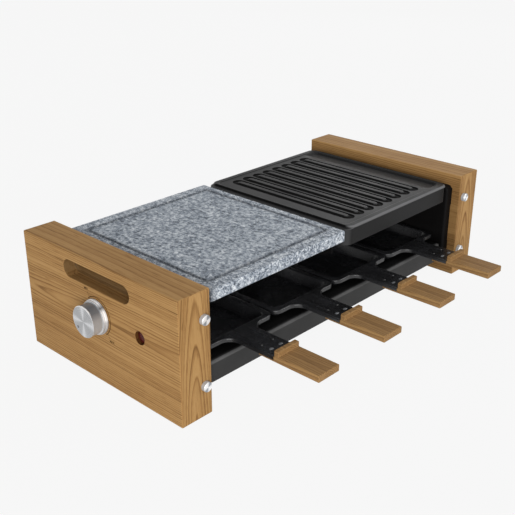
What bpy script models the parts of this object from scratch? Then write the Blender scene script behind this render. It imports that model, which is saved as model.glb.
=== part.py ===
# Raclette grill for eight with two wooden side panels, a stone plate, a ribbed plate and eight pans.
# Metres, +Z up. X runs from the control panel (-X) to the far panel (+X), the shown pans point to -Y.
# The origin lies on the table, in the middle of the outer box.

import math

import bmesh
import bpy
from mathutils import Matrix

# Overall body
panel_depth = 0.236
panel_height = 0.130
panel_thickness = 0.038
hearth_length = 0.420
panel_edge_round = 0.0014

# Clearances shared by all fits
seat_gap = 0.0003
cut_overrun = 0.004
weld_distance = 0.00002

# Carrying recess in the outer face of each panel
recess_length = 0.1015
recess_height = 0.0187
recess_sink = 0.0155
recess_below_top = 0.0193

# Pocket for the controls behind the left panel's outer face
pocket_length = 0.152
pocket_height = 0.050
pocket_floor = 0.046
pocket_sink = 0.024
pocket_corner = 0.006

# Steel end plates that stand off the wood
sheet = 0.0012
end_standoff = 0.0105
end_inset = 0.011
end_bottom = 0.020
end_height = 0.0962
end_corner = 0.005
end_bend = 0.0024
lug_reach = 0.0155
lug_height = 0.020
lug_gauge = 0.0010
lug_slot_gap = 0.0005

# Cap screws in the panel edges
screw_low = 0.0330
screw_high = 0.1020
screw_inset = 0.0087
screw_cap_radius = 0.0047
screw_cap_height = 0.0045
screw_cap_round = 0.0008
screw_shank_radius = 0.0020
screw_shank_length = 0.024

# Base tray
base_inset = 0.014
base_top = 0.042
base_wall = 0.022
base_bend = 0.003
bay_margin = 0.014
bay_sink = 0.0012
bay_slope = 0.003
bay_corner = 0.008

# Pans
pans_per_side = 4
pan_gap = 0.003
pan_end_gap = 0.003
pan_inset = 0.0221
pan_middle_gap = 0.010
pan_depth = 0.0123
pan_gauge = 0.0008
pan_corner = 0.009
pan_rim_flat = 0.0052
pan_rim_roll = 0.0014
pan_rim_drop = 0.0040
pan_wall_slope = 0.0030
pan_foot_round = 0.0022
shoulder_radius = 0.0125
neck_rib_width = 0.0034
neck_rib_rise = 0.0008
neck_rib_spread = 0.0155
neck_rib_end = 0.020

# Wooden grips
grip_width = 0.0294
grip_thickness = 0.0072
grip_reach = 0.0887
ridge_reach = 0.0346
ridge_depth = 0.0057
ridge_rise = 0.0053
tongue_reach = 0.0150
tongue_step = 0.0018
grip_edge_round = 0.0005

# Stone plate
stone_share = 0.49
stone_thickness = 0.0121
stone_seat = 0.1075
stone_inset = 0.0098
stone_end_gap = 0.0004
stone_edge_round = 0.0009
groove_side_margin = 0.0090
groove_front_margin = 0.0143
groove_width = 0.0036
groove_sink = 0.0016
groove_corner = 0.0050

# Ribbed plate
plate_gap = 0.0041
grill_inset = 0.0104
grill_seat = 0.0992
grill_height = 0.0211
grill_floor = 0.0052
grill_skirt_wall = 0.0034
grill_skirt_corner = 0.0110
grill_rim_height = 0.0024
grill_rim_lead = 0.0005
grill_rim_overhang = 0.0006
grill_rim_corner = 0.0085
grill_ledge = 0.0068
grill_far_ledge = 0.0008
grill_end_round = 0.0032
grill_side_round = 0.0007
rim_end_width = 0.0080
rim_side_width = 0.0018
rim_slope = 0.0016
well_sink = 0.0006
rib_count = 8
rib_from_edge = 0.0315
rib_to_channel = 0.0117
rib_top_share = 0.371
rib_top_length = 0.166
rib_rise = 0.0009
rib_edge_round = 0.0005
rib_flank = 0.0012
rib_hip = 0.0040
pit_sink = 0.0014
pit_floor_width = 0.0014
pit_slope = 0.0011
channel_width = 0.0262
channel_from_rim = 0.0004
channel_sink = 0.0024
channel_near_slope = 0.0120
channel_far_slope = 0.0012
channel_end_slope = 0.0040
channel_corner = 0.0050

# Carrying frame and heating element under the plates
rail_radius = 0.0025
rail_spread = 0.040
rail_under_ledge = 0.0006
rail_end_reach = 0.003
ledge_reach = 0.008
ledge_length = 0.168
bar_gauge = 0.0015
crossbar_stone_reach = 0.0090
crossbar_grill_reach = 0.0080
crossbar_half_span = 0.090
crossbar_shoulder_drop = 0.0200
hanger_foot_margin = 0.006
hanger_foot_drop = 0.0055
hanger_rise = 0.002
hanger_from_end = 0.045
element_runs = 4
element_radius = 0.00325
element_height = 0.084
element_pitch = 0.040
element_turn_inset = 0.012
element_tail = 0.012
bore_gap = 0.0003

# Controls
knob_height = 0.0735
knob_radius = 0.0180
knob_reach = 0.0170
knob_gap = 0.0008
knob_waist_radius = 0.0168
knob_lip = 0.0016
knob_flange_radius = 0.0198
knob_flange_height = 0.0022
knob_ring_radius = 0.0187
knob_ring_height = 0.0038
knob_edge_round = 0.0005
shaft_radius = 0.0030
shaft_in_knob = 0.010
shaft_in_thermostat = 0.008
socket_gap = 0.0003
bushing_radius = 0.0047
bushing_end_gap = 0.0020
thermostat_width = 0.032
thermostat_depth = 0.018
thermostat_corner = 0.004
lens_forward = 0.0634
lens_radius = 0.0070
lens_sunk = 0.0026
lens_dome = 0.0012
lamp_radius = 0.0088
lamp_length = 0.015
gland_height = 0.060
gland_from_inner = 0.014
gland_radius = 0.0050
gland_flange_radius = 0.0080
gland_flange_height = 0.0030
gland_mouth_radius = 0.0034
gland_tail = 0.018

# Facet counts
arc_steps = 4
turn_steps = 8
round_steps = 24
small_round_steps = 12

# Places worked out from the sizes above
panel_front = -panel_depth / 2
inner_face = hearth_length / 2
outer_face = inner_face + panel_thickness
hearth_end = inner_face - end_standoff
hearth_inner_length = 2 * hearth_end
pan_width = (
    hearth_inner_length - 2 * pan_end_gap - (pans_per_side - 1) * pan_gap
) / pans_per_side
pan_pitch = pan_width + pan_gap
pan_front = panel_front + pan_inset
pan_back = -pan_middle_gap / 2
rim_top = base_top + seat_gap + pan_depth
tongue_top = rim_top - pan_gauge - seat_gap
grip_top = tongue_top + tongue_step
grip_bottom = grip_top - grip_thickness
ridge_back = panel_front - ridge_reach
neck_end = ridge_back + seat_gap
neck_half_width = grip_width / 2 + seat_gap + pan_gauge
stone_bottom = stone_seat + seat_gap
stone_length = stone_share * hearth_inner_length
stone_left = -hearth_end + stone_end_gap
stone_right = stone_left + stone_length
grill_bottom = grill_seat + seat_gap
grill_left = stone_right + plate_gap
grill_right = hearth_end - stone_end_gap
rail_height = grill_seat - sheet - rail_under_ledge - rail_radius
element_run_outer = element_pitch * (element_runs - 1) / 2
hanger_foot_half_span = element_run_outer + hanger_foot_margin
crossbar_x = (stone_right + grill_left) / 2
knob_middle = 0.0
lens_middle = knob_middle - lens_forward
pocket_bottom_x = inner_face + pocket_sink


# Scene and collections
def clear_scene():
    for old in list(bpy.data.objects):
        bpy.data.objects.remove(old, do_unlink=True)


clear_scene()
parts = bpy.data.collections.new("raclette_grill")
cutters = bpy.data.collections.new("cutters")
bpy.context.scene.collection.children.link(parts)
bpy.context.scene.collection.children.link(cutters)
cutters.hide_render = True


def srgb(hex_colour):
    channels = [int(hex_colour[i : i + 2], 16) / 255 for i in (0, 2, 4)]
    linear = [c / 12.92 if c <= 0.04045 else ((c + 0.055) / 1.055) ** 2.4 for c in channels]
    return (*linear, 1.0)


def material(name, hex_colour, roughness, metallic=0.0):
    made = bpy.data.materials.new(name)
    made.use_nodes = True
    shader = made.node_tree.nodes["Principled BSDF"]
    shader.inputs["Base Color"].default_value = srgb(hex_colour)
    shader.inputs["Roughness"].default_value = roughness
    shader.inputs["Metallic"].default_value = metallic
    made.diffuse_color = srgb(hex_colour)
    return made


panel_wood = material("panel_wood", "a77c4b", 0.55)
grip_wood = material("grip_wood", "8f6a40", 0.6)
black_steel = material("black_steel", "1c1c1d", 0.5)
base_steel = material("base_steel", "3a3a3a", 0.5)
rail_steel = material("rail_steel", "8d8f92", 0.35, 1.0)
element_steel = material("element_steel", "5b5d5e", 0.45, 1.0)
cap_steel = material("cap_steel", "c9cbce", 0.2, 1.0)
knob_aluminium = material("knob_aluminium", "c4c5c6", 0.3, 1.0)
shaft_steel = material("shaft_steel", "a9abad", 0.35, 1.0)
stone_grey = material("stone_grey", "8b929b", 0.75)
cast_coating = material("cast_coating", "4a4a4a", 0.45)
pan_coating = material("pan_coating", "1d1d1e", 0.4)
lens_red = material("lens_red", "4e1211", 0.25)
control_plastic = material("control_plastic", "222222", 0.6)
gland_plastic = material("gland_plastic", "161616", 0.6)


# Placing and naming
def empty(name, location, parent=None):
    made = bpy.data.objects.new(name, None)
    made.empty_display_size = sheet
    made.location = location
    made.parent = parent
    parts.objects.link(made)
    return made


root = empty("root", (knob_reach / 2, 0, 0))


def shade(mesh):
    mesh.shade_smooth()
    mesh.set_sharp_from_angle(angle=math.radians(32))


def place(name, mesh, look, parent=root, location=(0, 0, 0), rotation=(0, 0, 0)):
    made = bpy.data.objects.new(name, mesh)
    if look and not mesh.materials:
        mesh.materials.append(look)
    made.location = location
    made.rotation_euler = rotation
    made.parent = parent
    parts.objects.link(made)
    return made


def as_cutter(name, mesh, location=(0, 0, 0), rotation=(0, 0, 0), parent=root):
    made = bpy.data.objects.new(name, mesh)
    made.location = location
    made.rotation_euler = rotation
    made.parent = parent
    made.display_type = "WIRE"
    made.hide_render = True
    cutters.objects.link(made)
    return made


def combine(target, other, operation, name):
    modifier = target.modifiers.new(name, "BOOLEAN")
    modifier.operation = operation
    modifier.object = other
    modifier.solver = "EXACT"
    return modifier


def cut(target, other):
    return combine(target, other, "DIFFERENCE", "cut " + other.name)


def join(target, other):
    return combine(target, other, "UNION", "join " + other.name)


def bevel(target, width, segments=2, angle=40):
    modifier = target.modifiers.new("bevel", "BEVEL")
    modifier.width = width
    modifier.segments = segments
    modifier.limit_method = "ANGLE"
    modifier.angle_limit = math.radians(angle)
    return modifier


def settled(source, name):
    """The mesh of an object with its modifiers applied, welded, and the object removed."""
    bpy.context.view_layer.update()
    graph = bpy.context.evaluated_depsgraph_get()
    mesh = bpy.data.meshes.new_from_object(source.evaluated_get(graph))
    mesh.name = name
    weld(mesh)
    bpy.data.objects.remove(source, do_unlink=True)
    return mesh


def weld(mesh):
    work = bmesh.new()
    work.from_mesh(mesh)
    bmesh.ops.remove_doubles(work, verts=work.verts, dist=weld_distance)
    work.to_mesh(mesh)
    work.free()


# Planes for outlines: where the outline's two axes and its thickness point
flat_plane = Matrix.Identity(4)
side_plane = Matrix(((0, 0, 1, 0), (1, 0, 0, 0), (0, 1, 0, 0), (0, 0, 0, 1)))


def box_mesh(name, size_x, size_y, size_z):
    work = bmesh.new()
    bmesh.ops.create_cube(work, size=1, matrix=Matrix.Diagonal((size_x, size_y, size_z, 1)))
    mesh = bpy.data.meshes.new(name)
    work.to_mesh(mesh)
    work.free()
    return mesh


def cylinder_mesh(name, radius, length, steps):
    work = bmesh.new()
    bmesh.ops.create_cone(
        work, cap_ends=True, segments=steps, radius1=radius, radius2=radius, depth=length
    )
    mesh = bpy.data.meshes.new(name)
    work.to_mesh(mesh)
    work.free()
    shade(mesh)
    return mesh


def outline_mesh(name, points, thickness, plane=flat_plane):
    """A flat outline given thickness, its middle on the outline's own plane."""
    data = bpy.data.curves.new(name, "CURVE")
    data.dimensions = "2D"
    data.fill_mode = "BOTH"
    data.extrude = thickness / 2
    spline = data.splines.new("POLY")
    spline.points.add(len(points) - 1)
    for at, (u, v) in zip(spline.points, points):
        at.co = (u, v, 0, 1)
    spline.use_cyclic_u = True
    source = bpy.data.objects.new(name, data)
    cutters.objects.link(source)
    mesh = settled(source, name)
    bpy.data.curves.remove(data)
    mesh.transform(plane)
    return mesh


def arc(centre_u, centre_v, radius, first, last, steps):
    return [
        (
            centre_u + radius * math.cos(math.radians(first + (last - first) * i / steps)),
            centre_v + radius * math.sin(math.radians(first + (last - first) * i / steps)),
        )
        for i in range(steps + 1)
    ]


def round_rectangle(low_u, high_u, low_v, high_v, radius, steps=arc_steps):
    points = (
        arc(high_u - radius, low_v + radius, radius, -90, 0, steps)
        + arc(high_u - radius, high_v - radius, radius, 0, 90, steps)
        + arc(low_u + radius, high_v - radius, radius, 90, 180, steps)
        + arc(low_u + radius, low_v + radius, radius, 180, 270, steps)
    )
    before = points[-1:] + points[:-1]
    return [point for point, last in zip(points, before) if math.dist(point, last) > weld_distance]


def turned_mesh(name, profile, steps):
    """A profile of (radius, height) pairs turned about Z, from the axis at the top down the outer side."""
    mesh = bpy.data.meshes.new(name)
    mesh.from_pydata(
        [(radius, 0, height) for radius, height in profile],
        [(i, i + 1) for i in range(len(profile) - 1)],
        [],
    )
    source = bpy.data.objects.new(name, mesh)
    cutters.objects.link(source)
    modifier = source.modifiers.new("turn", "SCREW")
    modifier.axis = "Z"
    modifier.steps = steps
    modifier.render_steps = steps
    modifier.use_merge_vertices = True
    modifier.merge_threshold = weld_distance
    turned = settled(source, name)
    shade(turned)
    return turned


# Pressed sheet: a flat with rolled edges and pressings, all rings of one group having as many points
def ring(work, points):
    corners = [work.verts.new(point) for point in points]
    return [work.edges.new((a, b)) for a, b in zip(corners, corners[1:] + corners[:1])]


def pressed_sheet(name, edge_rings, pressings, gauge):
    work = bmesh.new()
    outer = [ring(work, points) for points in edge_rings]
    pressed = [[ring(work, points) for points in rings] for rings in pressings]
    flat = outer[0] + [edge for rings in pressed for edge in rings[0]]
    bmesh.ops.triangle_fill(work, use_beauty=True, edges=flat, normal=(0, 0, 1))
    for rings in [outer] + pressed:
        for upper, lower in zip(rings, rings[1:]):
            bmesh.ops.bridge_loops(work, edges=upper + lower)
    for rings in pressed:
        bmesh.ops.contextual_create(work, geom=rings[-1])
    bmesh.ops.recalc_face_normals(work, faces=work.faces)
    level = max(work.faces, key=lambda face: face.calc_area())
    if level.normal.z < 0:
        bmesh.ops.reverse_faces(work, faces=work.faces)
    mesh = bpy.data.meshes.new(name)
    work.to_mesh(mesh)
    work.free()
    source = bpy.data.objects.new(name, mesh)
    cutters.objects.link(source)
    shell = source.modifiers.new("gauge", "SOLIDIFY")
    shell.thickness = gauge
    shell.offset = -1
    shell.use_even_offset = True
    made = settled(source, name)
    shade(made)
    return made


def lifted(points, height):
    return [(u, v, height) for u, v in points]


def bend_shares(steps):
    """A quarter bend as shares of its radius: how far out and how far down each step lies."""
    angles = [math.pi / 2 * i / steps for i in range(steps + 1)]
    return [(math.sin(angle), 1 - math.cos(angle)) for angle in angles]


def rolled_edge(outline, radius, height, steps=3):
    """Rings of a flat's edge as it bends down round a radius; outline(inset) gives the flat's outline."""
    return [
        lifted(outline(radius * (1 - out)), height - radius * down)
        for out, down in bend_shares(steps)
    ]


def lofted_mesh(name, rings):
    """A closed solid through rings of equally many points, capped at its first and last ring."""
    work = bmesh.new()
    rows = [[work.verts.new(point) for point in points] for points in rings]
    for upper, lower in zip(rows, rows[1:]):
        for i in range(len(upper)):
            work.faces.new((upper[i - 1], upper[i], lower[i], lower[i - 1]))
    for row in (rows[0], rows[-1]):
        work.faces.new(row)
    bmesh.ops.recalc_face_normals(work, faces=work.faces)
    mesh = bpy.data.meshes.new(name)
    work.to_mesh(mesh)
    work.free()
    shade(mesh)
    return mesh


# Wooden side panels; side -1 is the control end and side 1 the far end
def screw_heights():
    return (screw_low, screw_high)


def make_panel(name, side):
    middle_x = side * (inner_face + panel_thickness / 2)
    body = place(
        name,
        box_mesh(name, panel_thickness, panel_depth, panel_height),
        panel_wood,
        location=(middle_x, 0, panel_height / 2),
    )
    bevel(body, panel_edge_round, 1)
    recess_height_middle = panel_height - recess_below_top
    half_length = recess_length / 2
    half_height = recess_height / 2
    recess = outline_mesh(
        name + " recess",
        round_rectangle(-half_length, half_length, -half_height, half_height, half_height, 2 * arc_steps),
        recess_sink + cut_overrun,
        side_plane,
    )
    recess_x = side * (outer_face - recess_sink + (recess_sink + cut_overrun) / 2)
    cut(body, as_cutter(name + " recess", recess, (recess_x, 0, recess_height_middle)))
    slot = box_mesh(
        name + " slot",
        lug_reach + lug_slot_gap + cut_overrun,
        lug_gauge + 2 * lug_slot_gap,
        lug_height + 2 * lug_slot_gap,
    )
    slot_x = side * (inner_face + (lug_reach + lug_slot_gap - cut_overrun) / 2)
    slot_y = -panel_front - end_inset - sheet / 2
    bore = cylinder_mesh(
        name + " screw bore",
        screw_shank_radius + bore_gap,
        screw_shank_length + bore_gap + cut_overrun,
        small_round_steps,
    )
    bore_y = -panel_front - (screw_shank_length + bore_gap - cut_overrun) / 2
    for level, height in enumerate(screw_heights()):
        for end in (-1, 1):
            tag = f"{name} {level} {end}"
            cut(body, as_cutter(tag + " slot", slot, (slot_x, end * slot_y, height)))
            bore_place = (side * (inner_face + screw_inset), end * bore_y, height)
            cut(body, as_cutter(tag + " bore", bore, bore_place, (math.pi / 2, 0, 0)))
    return body


left_panel = make_panel("left_panel", -1)
make_panel("right_panel", 1)

pocket_cut = outline_mesh(
    "pocket",
    round_rectangle(
        -pocket_length / 2, pocket_length / 2, -pocket_height / 2, pocket_height / 2, pocket_corner
    ),
    pocket_sink + cut_overrun,
    side_plane,
)
cut(
    left_panel,
    as_cutter(
        "pocket",
        pocket_cut,
        (-inner_face - (pocket_sink - cut_overrun) / 2, 0, pocket_floor + pocket_height / 2),
    ),
)
wall_thickness = panel_thickness - pocket_sink
wall_middle = -pocket_bottom_x - wall_thickness / 2
for hole_name, hole_radius, hole_y in (
    ("bushing hole", bushing_radius + bore_gap, knob_middle),
    ("lens hole", lens_radius, lens_middle),
):
    hole = cylinder_mesh(hole_name, hole_radius, wall_thickness + 2 * cut_overrun, round_steps)
    cut(left_panel, as_cutter(hole_name, hole, (wall_middle, hole_y, knob_height), (0, math.pi / 2, 0)))
gland_x = -(inner_face + gland_from_inner)
gland_hole_length = -panel_front - pocket_length / 2 + 2 * cut_overrun
gland_hole = cylinder_mesh("gland hole", gland_radius, gland_hole_length, small_round_steps)
gland_hole_y = (-panel_front + pocket_length / 2) / 2
cut(
    left_panel,
    as_cutter("gland hole", gland_hole, (gland_x, gland_hole_y, gland_height), (math.pi / 2, 0, 0)),
)


# Cap screws through the panel edges and the end plates' lugs
screw_profile = [
    (0, screw_cap_height),
    (screw_cap_radius - screw_cap_round, screw_cap_height),
    (screw_cap_radius, screw_cap_height - screw_cap_round),
    (screw_cap_radius, seat_gap),
    (screw_shank_radius, seat_gap),
    (screw_shank_radius, -screw_shank_length),
    (0, -screw_shank_length),
]
screw_mesh = turned_mesh("cap_screw", screw_profile, small_round_steps)
for side, side_name in ((-1, "left"), (1, "right")):
    for end, end_name in ((-1, "front"), (1, "back")):
        for height, level_name in ((screw_low, "low"), (screw_high, "high")):
            place(
                f"cap_screw_{side_name}_{end_name}_{level_name}",
                screw_mesh,
                cap_steel,
                location=(side * (inner_face + screw_inset), end * panel_depth / 2, height),
                rotation=(-end * math.pi / 2, 0, 0),
            )


# Steel end plates: a shallow dish open to the wood, with lugs for the screws and a ledge for a plate
def make_end_plate(name, side, ledge_top):
    half_depth = -panel_front - end_inset
    half_height = end_height / 2
    middle_height = end_bottom + half_height

    def outline(inset):
        return round_rectangle(
            inset - half_height,
            half_height - inset,
            inset - half_depth,
            half_depth - inset,
            end_corner - inset,
            3,
        )

    rings = rolled_edge(outline, end_bend, 0)
    rings.append(lifted(outline(0), seat_gap - end_standoff))
    body = place(
        name,
        pressed_sheet(name, rings, [], sheet),
        black_steel,
        location=(side * hearth_end, 0, middle_height),
        rotation=(0, -side * math.pi / 2, 0),
    )
    lug_length = lug_reach + end_standoff / 2
    lug = box_mesh(name + " lug", lug_length, lug_gauge, lug_height)
    lug_x = side * (inner_face + lug_reach - lug_length / 2)
    lug_y = half_depth - sheet / 2
    bore = cylinder_mesh(
        name + " lug bore", screw_shank_radius + bore_gap, panel_depth + cut_overrun, small_round_steps
    )
    for level, height in enumerate(screw_heights()):
        for end in (-1, 1):
            join(body, as_cutter(f"{name} lug {level} {end}", lug, (lug_x, end * lug_y, height)))
        bore_place = (side * (inner_face + screw_inset), 0, height)
        cut(body, as_cutter(f"{name} lug bore {level}", bore, bore_place, (math.pi / 2, 0, 0)))
    ledge_width = ledge_reach + sheet / 2
    ledge = box_mesh(name + " ledge", ledge_width, ledge_length, sheet)
    ledge_x = side * (hearth_end - ledge_reach + ledge_width / 2)
    join(body, as_cutter(name + " ledge", ledge, (ledge_x, 0, ledge_top - sheet / 2)))
    rail_bore = cylinder_mesh(
        name + " rail bore", rail_radius + bore_gap, sheet + 2 * cut_overrun, small_round_steps
    )
    for end in (-1, 1):
        bore_place = (side * (hearth_end + sheet / 2), end * rail_spread, rail_height)
        cut(body, as_cutter(f"{name} rail bore {end}", rail_bore, bore_place, (0, math.pi / 2, 0)))
    return body


left_end_plate = make_end_plate("left_end_plate", -1, stone_seat)
make_end_plate("right_end_plate", 1, grill_seat)
terminal_bore = cylinder_mesh(
    "terminal bore", element_radius + bore_gap, sheet + 2 * cut_overrun, small_round_steps
)
for end in (-1, 1):
    bore_place = (-hearth_end - sheet / 2, end * element_run_outer, element_height)
    cut(
        left_end_plate,
        as_cutter(f"terminal bore {end}", terminal_bore, bore_place, (0, math.pi / 2, 0)),
    )


# Base tray: pressed sheet with a bay under each pan
base_half_length = hearth_end - seat_gap
base_half_depth = -panel_front - base_inset


def base_outline(inset):
    return round_rectangle(
        inset - base_half_length,
        base_half_length - inset,
        inset - base_half_depth,
        base_half_depth - inset,
        base_bend + sheet - inset,
        2,
    )


def bay_outline(middle_x, end, inset):
    low, high = sorted((-end * pan_front, -end * pan_back))
    half_width = pan_width / 2 - bay_margin - inset
    return round_rectangle(
        middle_x - half_width,
        middle_x + half_width,
        low + bay_margin + inset,
        high - bay_margin - inset,
        bay_corner - inset,
        2,
    )


pan_middles = [(i - (pans_per_side - 1) / 2) * pan_pitch for i in range(pans_per_side)]
base_rings = rolled_edge(base_outline, base_bend, base_top)
base_rings.append(lifted(base_outline(0), base_top - base_wall))
bays = [
    [
        lifted(bay_outline(middle, end, 0), base_top),
        lifted(bay_outline(middle, end, bay_slope), base_top - bay_sink),
    ]
    for end in (-1, 1)
    for middle in pan_middles
]
place("base_tray", pressed_sheet("base_tray", base_rings, bays, sheet), base_steel)


# Pans: pressed tray, rim and neck in one sheet, on a wooden grip
tray_length = pan_back - pan_front
neck_length = pan_front - neck_end
shoulder_steps = 3
corner_steps = 2


def pan_outline(inset):
    """The outer edge of rim and neck, drawn with the pan's rim front on v = 0 and the neck towards -v."""
    half = pan_width / 2 - inset
    neck = neck_half_width - inset
    corner = pan_corner - inset
    shoulder = shoulder_radius + inset
    back = tray_length - inset
    right = (
        [(neck, -neck_length)]
        + arc(neck + shoulder, inset - shoulder, shoulder, 180, 90, shoulder_steps)
        + arc(half - corner, inset + corner, corner, -90, 0, corner_steps)
        + arc(half - corner, back - corner, corner, 0, 90, corner_steps)
    )
    return right + [(-u, v) for u, v in reversed(right)]


def opening_outline(inset, height):
    flat = pan_rim_roll + pan_rim_flat + inset
    half = pan_width / 2 - flat
    corner = max(pan_corner - pan_rim_roll - inset, pan_foot_round)
    outline = round_rectangle(-half, half, flat, tray_length - flat, corner, corner_steps)
    return lifted(outline, height)


def neck_rib_outline(middle_u, inset, height):
    half = neck_rib_width / 2 - inset
    low = neck_rib_end - neck_length + inset
    high = -inset
    points = round_rectangle(middle_u - half, middle_u + half, low, high, half, 1)
    return lifted(points, height)


rim_rings = rolled_edge(pan_outline, pan_rim_roll, 0, 2)
rim_rings.append(lifted(pan_outline(0), -pan_rim_drop))
tray_floor = pan_gauge - pan_depth
tray_pressing = [
    opening_outline(0, 0),
    opening_outline(pan_wall_slope, tray_floor + pan_foot_round),
    opening_outline(pan_wall_slope + pan_foot_round, tray_floor),
]
neck_pressings = [
    [
        neck_rib_outline(end * neck_rib_spread / 2, 0, 0),
        neck_rib_outline(end * neck_rib_spread / 2, neck_rib_width / 4, neck_rib_rise),
    ]
    for end in (-1, 1)
]
pressed = pressed_sheet("pan pressing", rim_rings, [tray_pressing] + neck_pressings, pan_gauge)
tray_source = bpy.data.objects.new("pan pressing", pressed)
cutters.objects.link(tray_source)
mouth_top = tongue_top + seat_gap - rim_top
mouth_height = pan_rim_drop + mouth_top + cut_overrun
mouth_reach = pan_rim_roll + pan_gauge
mouth = as_cutter(
    "neck mouth",
    box_mesh(
        "neck mouth", 2 * (neck_half_width - pan_gauge), mouth_reach + cut_overrun, mouth_height
    ),
    (0, (mouth_reach - cut_overrun) / 2 - neck_length, mouth_top - mouth_height / 2),
    parent=None,
)
cut(tray_source, mouth)
tray_mesh = settled(tray_source, "pan_tray")
shade(tray_mesh)

ridge_at = neck_end - pan_front - seat_gap
grip_profile = [
    (panel_front - tongue_reach - pan_front, grip_bottom - rim_top),
    (panel_front - tongue_reach - pan_front, tongue_top - rim_top),
    (ridge_at, tongue_top - rim_top),
    (ridge_at, grip_top - rim_top + ridge_rise),
    (ridge_at - ridge_depth, grip_top - rim_top + ridge_rise),
    (ridge_at - ridge_depth, grip_top - rim_top),
    (panel_front - grip_reach - pan_front, grip_top - rim_top),
    (panel_front - grip_reach - pan_front, grip_bottom - rim_top),
]
grip_source = bpy.data.objects.new("grip", outline_mesh("grip", grip_profile, grip_width, side_plane))
cutters.objects.link(grip_source)
bevel(grip_source, grip_edge_round, 1)
grip_mesh = settled(grip_source, "pan_grip")

for end, end_name in ((-1, "front"), (1, "back")):
    for number, middle in enumerate(pan_middles):
        turn = 0 if end < 0 else math.pi
        slide = empty(
            f"pan_{end_name}_{number + 1}_slide", (middle, -end * pan_front, rim_top), root
        )
        slide.rotation_euler = (0, 0, turn)
        place(f"pan_{end_name}_{number + 1}", tray_mesh, pan_coating, parent=slide)
        place(f"pan_{end_name}_{number + 1}_grip", grip_mesh, grip_wood, parent=slide)


# Stone plate with a groove all round its cooking face
stone_half_depth = -panel_front - stone_inset
stone_middle = (stone_left + stone_right) / 2
stone_lift = empty("stone_lift", (stone_middle, 0, stone_bottom), root)
stone = place(
    "stone_plate",
    box_mesh("stone_plate", stone_length, 2 * stone_half_depth, stone_thickness),
    stone_grey,
    parent=stone_lift,
    location=(0, 0, stone_thickness / 2),
)
bevel(stone, stone_edge_round, 1)


def groove_outline(inset):
    return round_rectangle(
        groove_side_margin + inset - stone_length / 2,
        stone_length / 2 - groove_side_margin - inset,
        groove_front_margin + inset - stone_half_depth,
        stone_half_depth - groove_front_margin - inset,
        groove_corner + groove_width - inset,
    )


groove_depth = groove_sink + cut_overrun
groove_height = stone_thickness - groove_sink + groove_depth / 2
groove_ring = as_cutter(
    "groove",
    outline_mesh("groove", groove_outline(0), groove_depth),
    (0, 0, groove_height),
    parent=stone_lift,
)
groove_core = outline_mesh("groove core", groove_outline(groove_width), groove_depth + cut_overrun)
cut(groove_ring, as_cutter("groove core", groove_core, (0, 0, groove_height), parent=stone_lift))
cut(stone, groove_ring)


# Ribbed plate: skirt, ledge and rim, a sunk cooking face with ribs in pits, and a grease channel
grill_middle = (grill_left + grill_right) / 2
grill_half_length = (grill_right - grill_left) / 2
grill_half_depth = -panel_front - grill_inset
grill_lift = empty("grill_lift", (grill_middle, 0, grill_bottom), root)


def plate_ring(near, far, end, radius, height):
    """An outline of the plate drawn in from its near side, far side and both ends."""
    points = round_rectangle(
        near - grill_half_length,
        grill_half_length - far,
        end - grill_half_depth,
        grill_half_depth - end,
        radius,
    )
    return lifted(points, height)


skirt_inner_corner = grill_skirt_corner - grill_skirt_wall
well_floor = grill_height - well_sink
hollow_top = well_floor - grill_floor
rim_foot = grill_height - grill_rim_height
skirt_end = grill_rim_overhang
skirt_inner_end = skirt_end + grill_skirt_wall
plate_rings = [
    plate_ring(grill_skirt_wall, grill_skirt_wall, skirt_inner_end, skirt_inner_corner, hollow_top),
    plate_ring(grill_skirt_wall, grill_skirt_wall, skirt_inner_end, skirt_inner_corner, 0),
    plate_ring(0, 0, skirt_end, grill_skirt_corner, 0),
    plate_ring(0, 0, skirt_end, grill_skirt_corner, rim_foot - grill_rim_lead),
]
for out, down in reversed(bend_shares(3)):
    inward = 1 - out
    side_in = grill_side_round * inward
    plate_rings.append(
        plate_ring(
            grill_ledge + side_in,
            grill_far_ledge + side_in,
            grill_end_round * inward,
            grill_rim_corner - grill_side_round * inward,
            grill_height - min(grill_rim_height, grill_end_round) * down,
        )
    )
well_near = grill_ledge + rim_side_width
well_far = grill_far_ledge + rim_side_width
well_corner = grill_rim_corner - rim_side_width
plate_rings.append(plate_ring(well_near, well_far, rim_end_width, well_corner, grill_height))
plate_rings.append(
    plate_ring(
        well_near + rim_slope, well_far + rim_slope, rim_end_width + rim_slope, well_corner, well_floor
    )
)
grill = place("grill_plate", lofted_mesh("grill_plate", plate_rings), cast_coating, parent=grill_lift)

channel_far = grill_half_length - well_far - rim_slope - channel_from_rim
channel_end = grill_half_depth - rim_end_width - rim_slope - channel_from_rim
first_rib = rib_from_edge - grill_half_length
last_rib = channel_far - channel_width - rib_to_channel
rib_pitch = (last_rib - first_rib) / (rib_count - 1)
rib_top_width = rib_top_share * rib_pitch


def rib_ring(spread, hip, height):
    """A long round-ended outline, widened all round by spread, its ends moved on by hip."""
    half_width = rib_top_width / 2 + spread
    half_length = rib_top_length / 2 + spread + hip
    points = round_rectangle(-half_width, half_width, -half_length, half_length, half_width, 3)
    return lifted(points, height)


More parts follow.
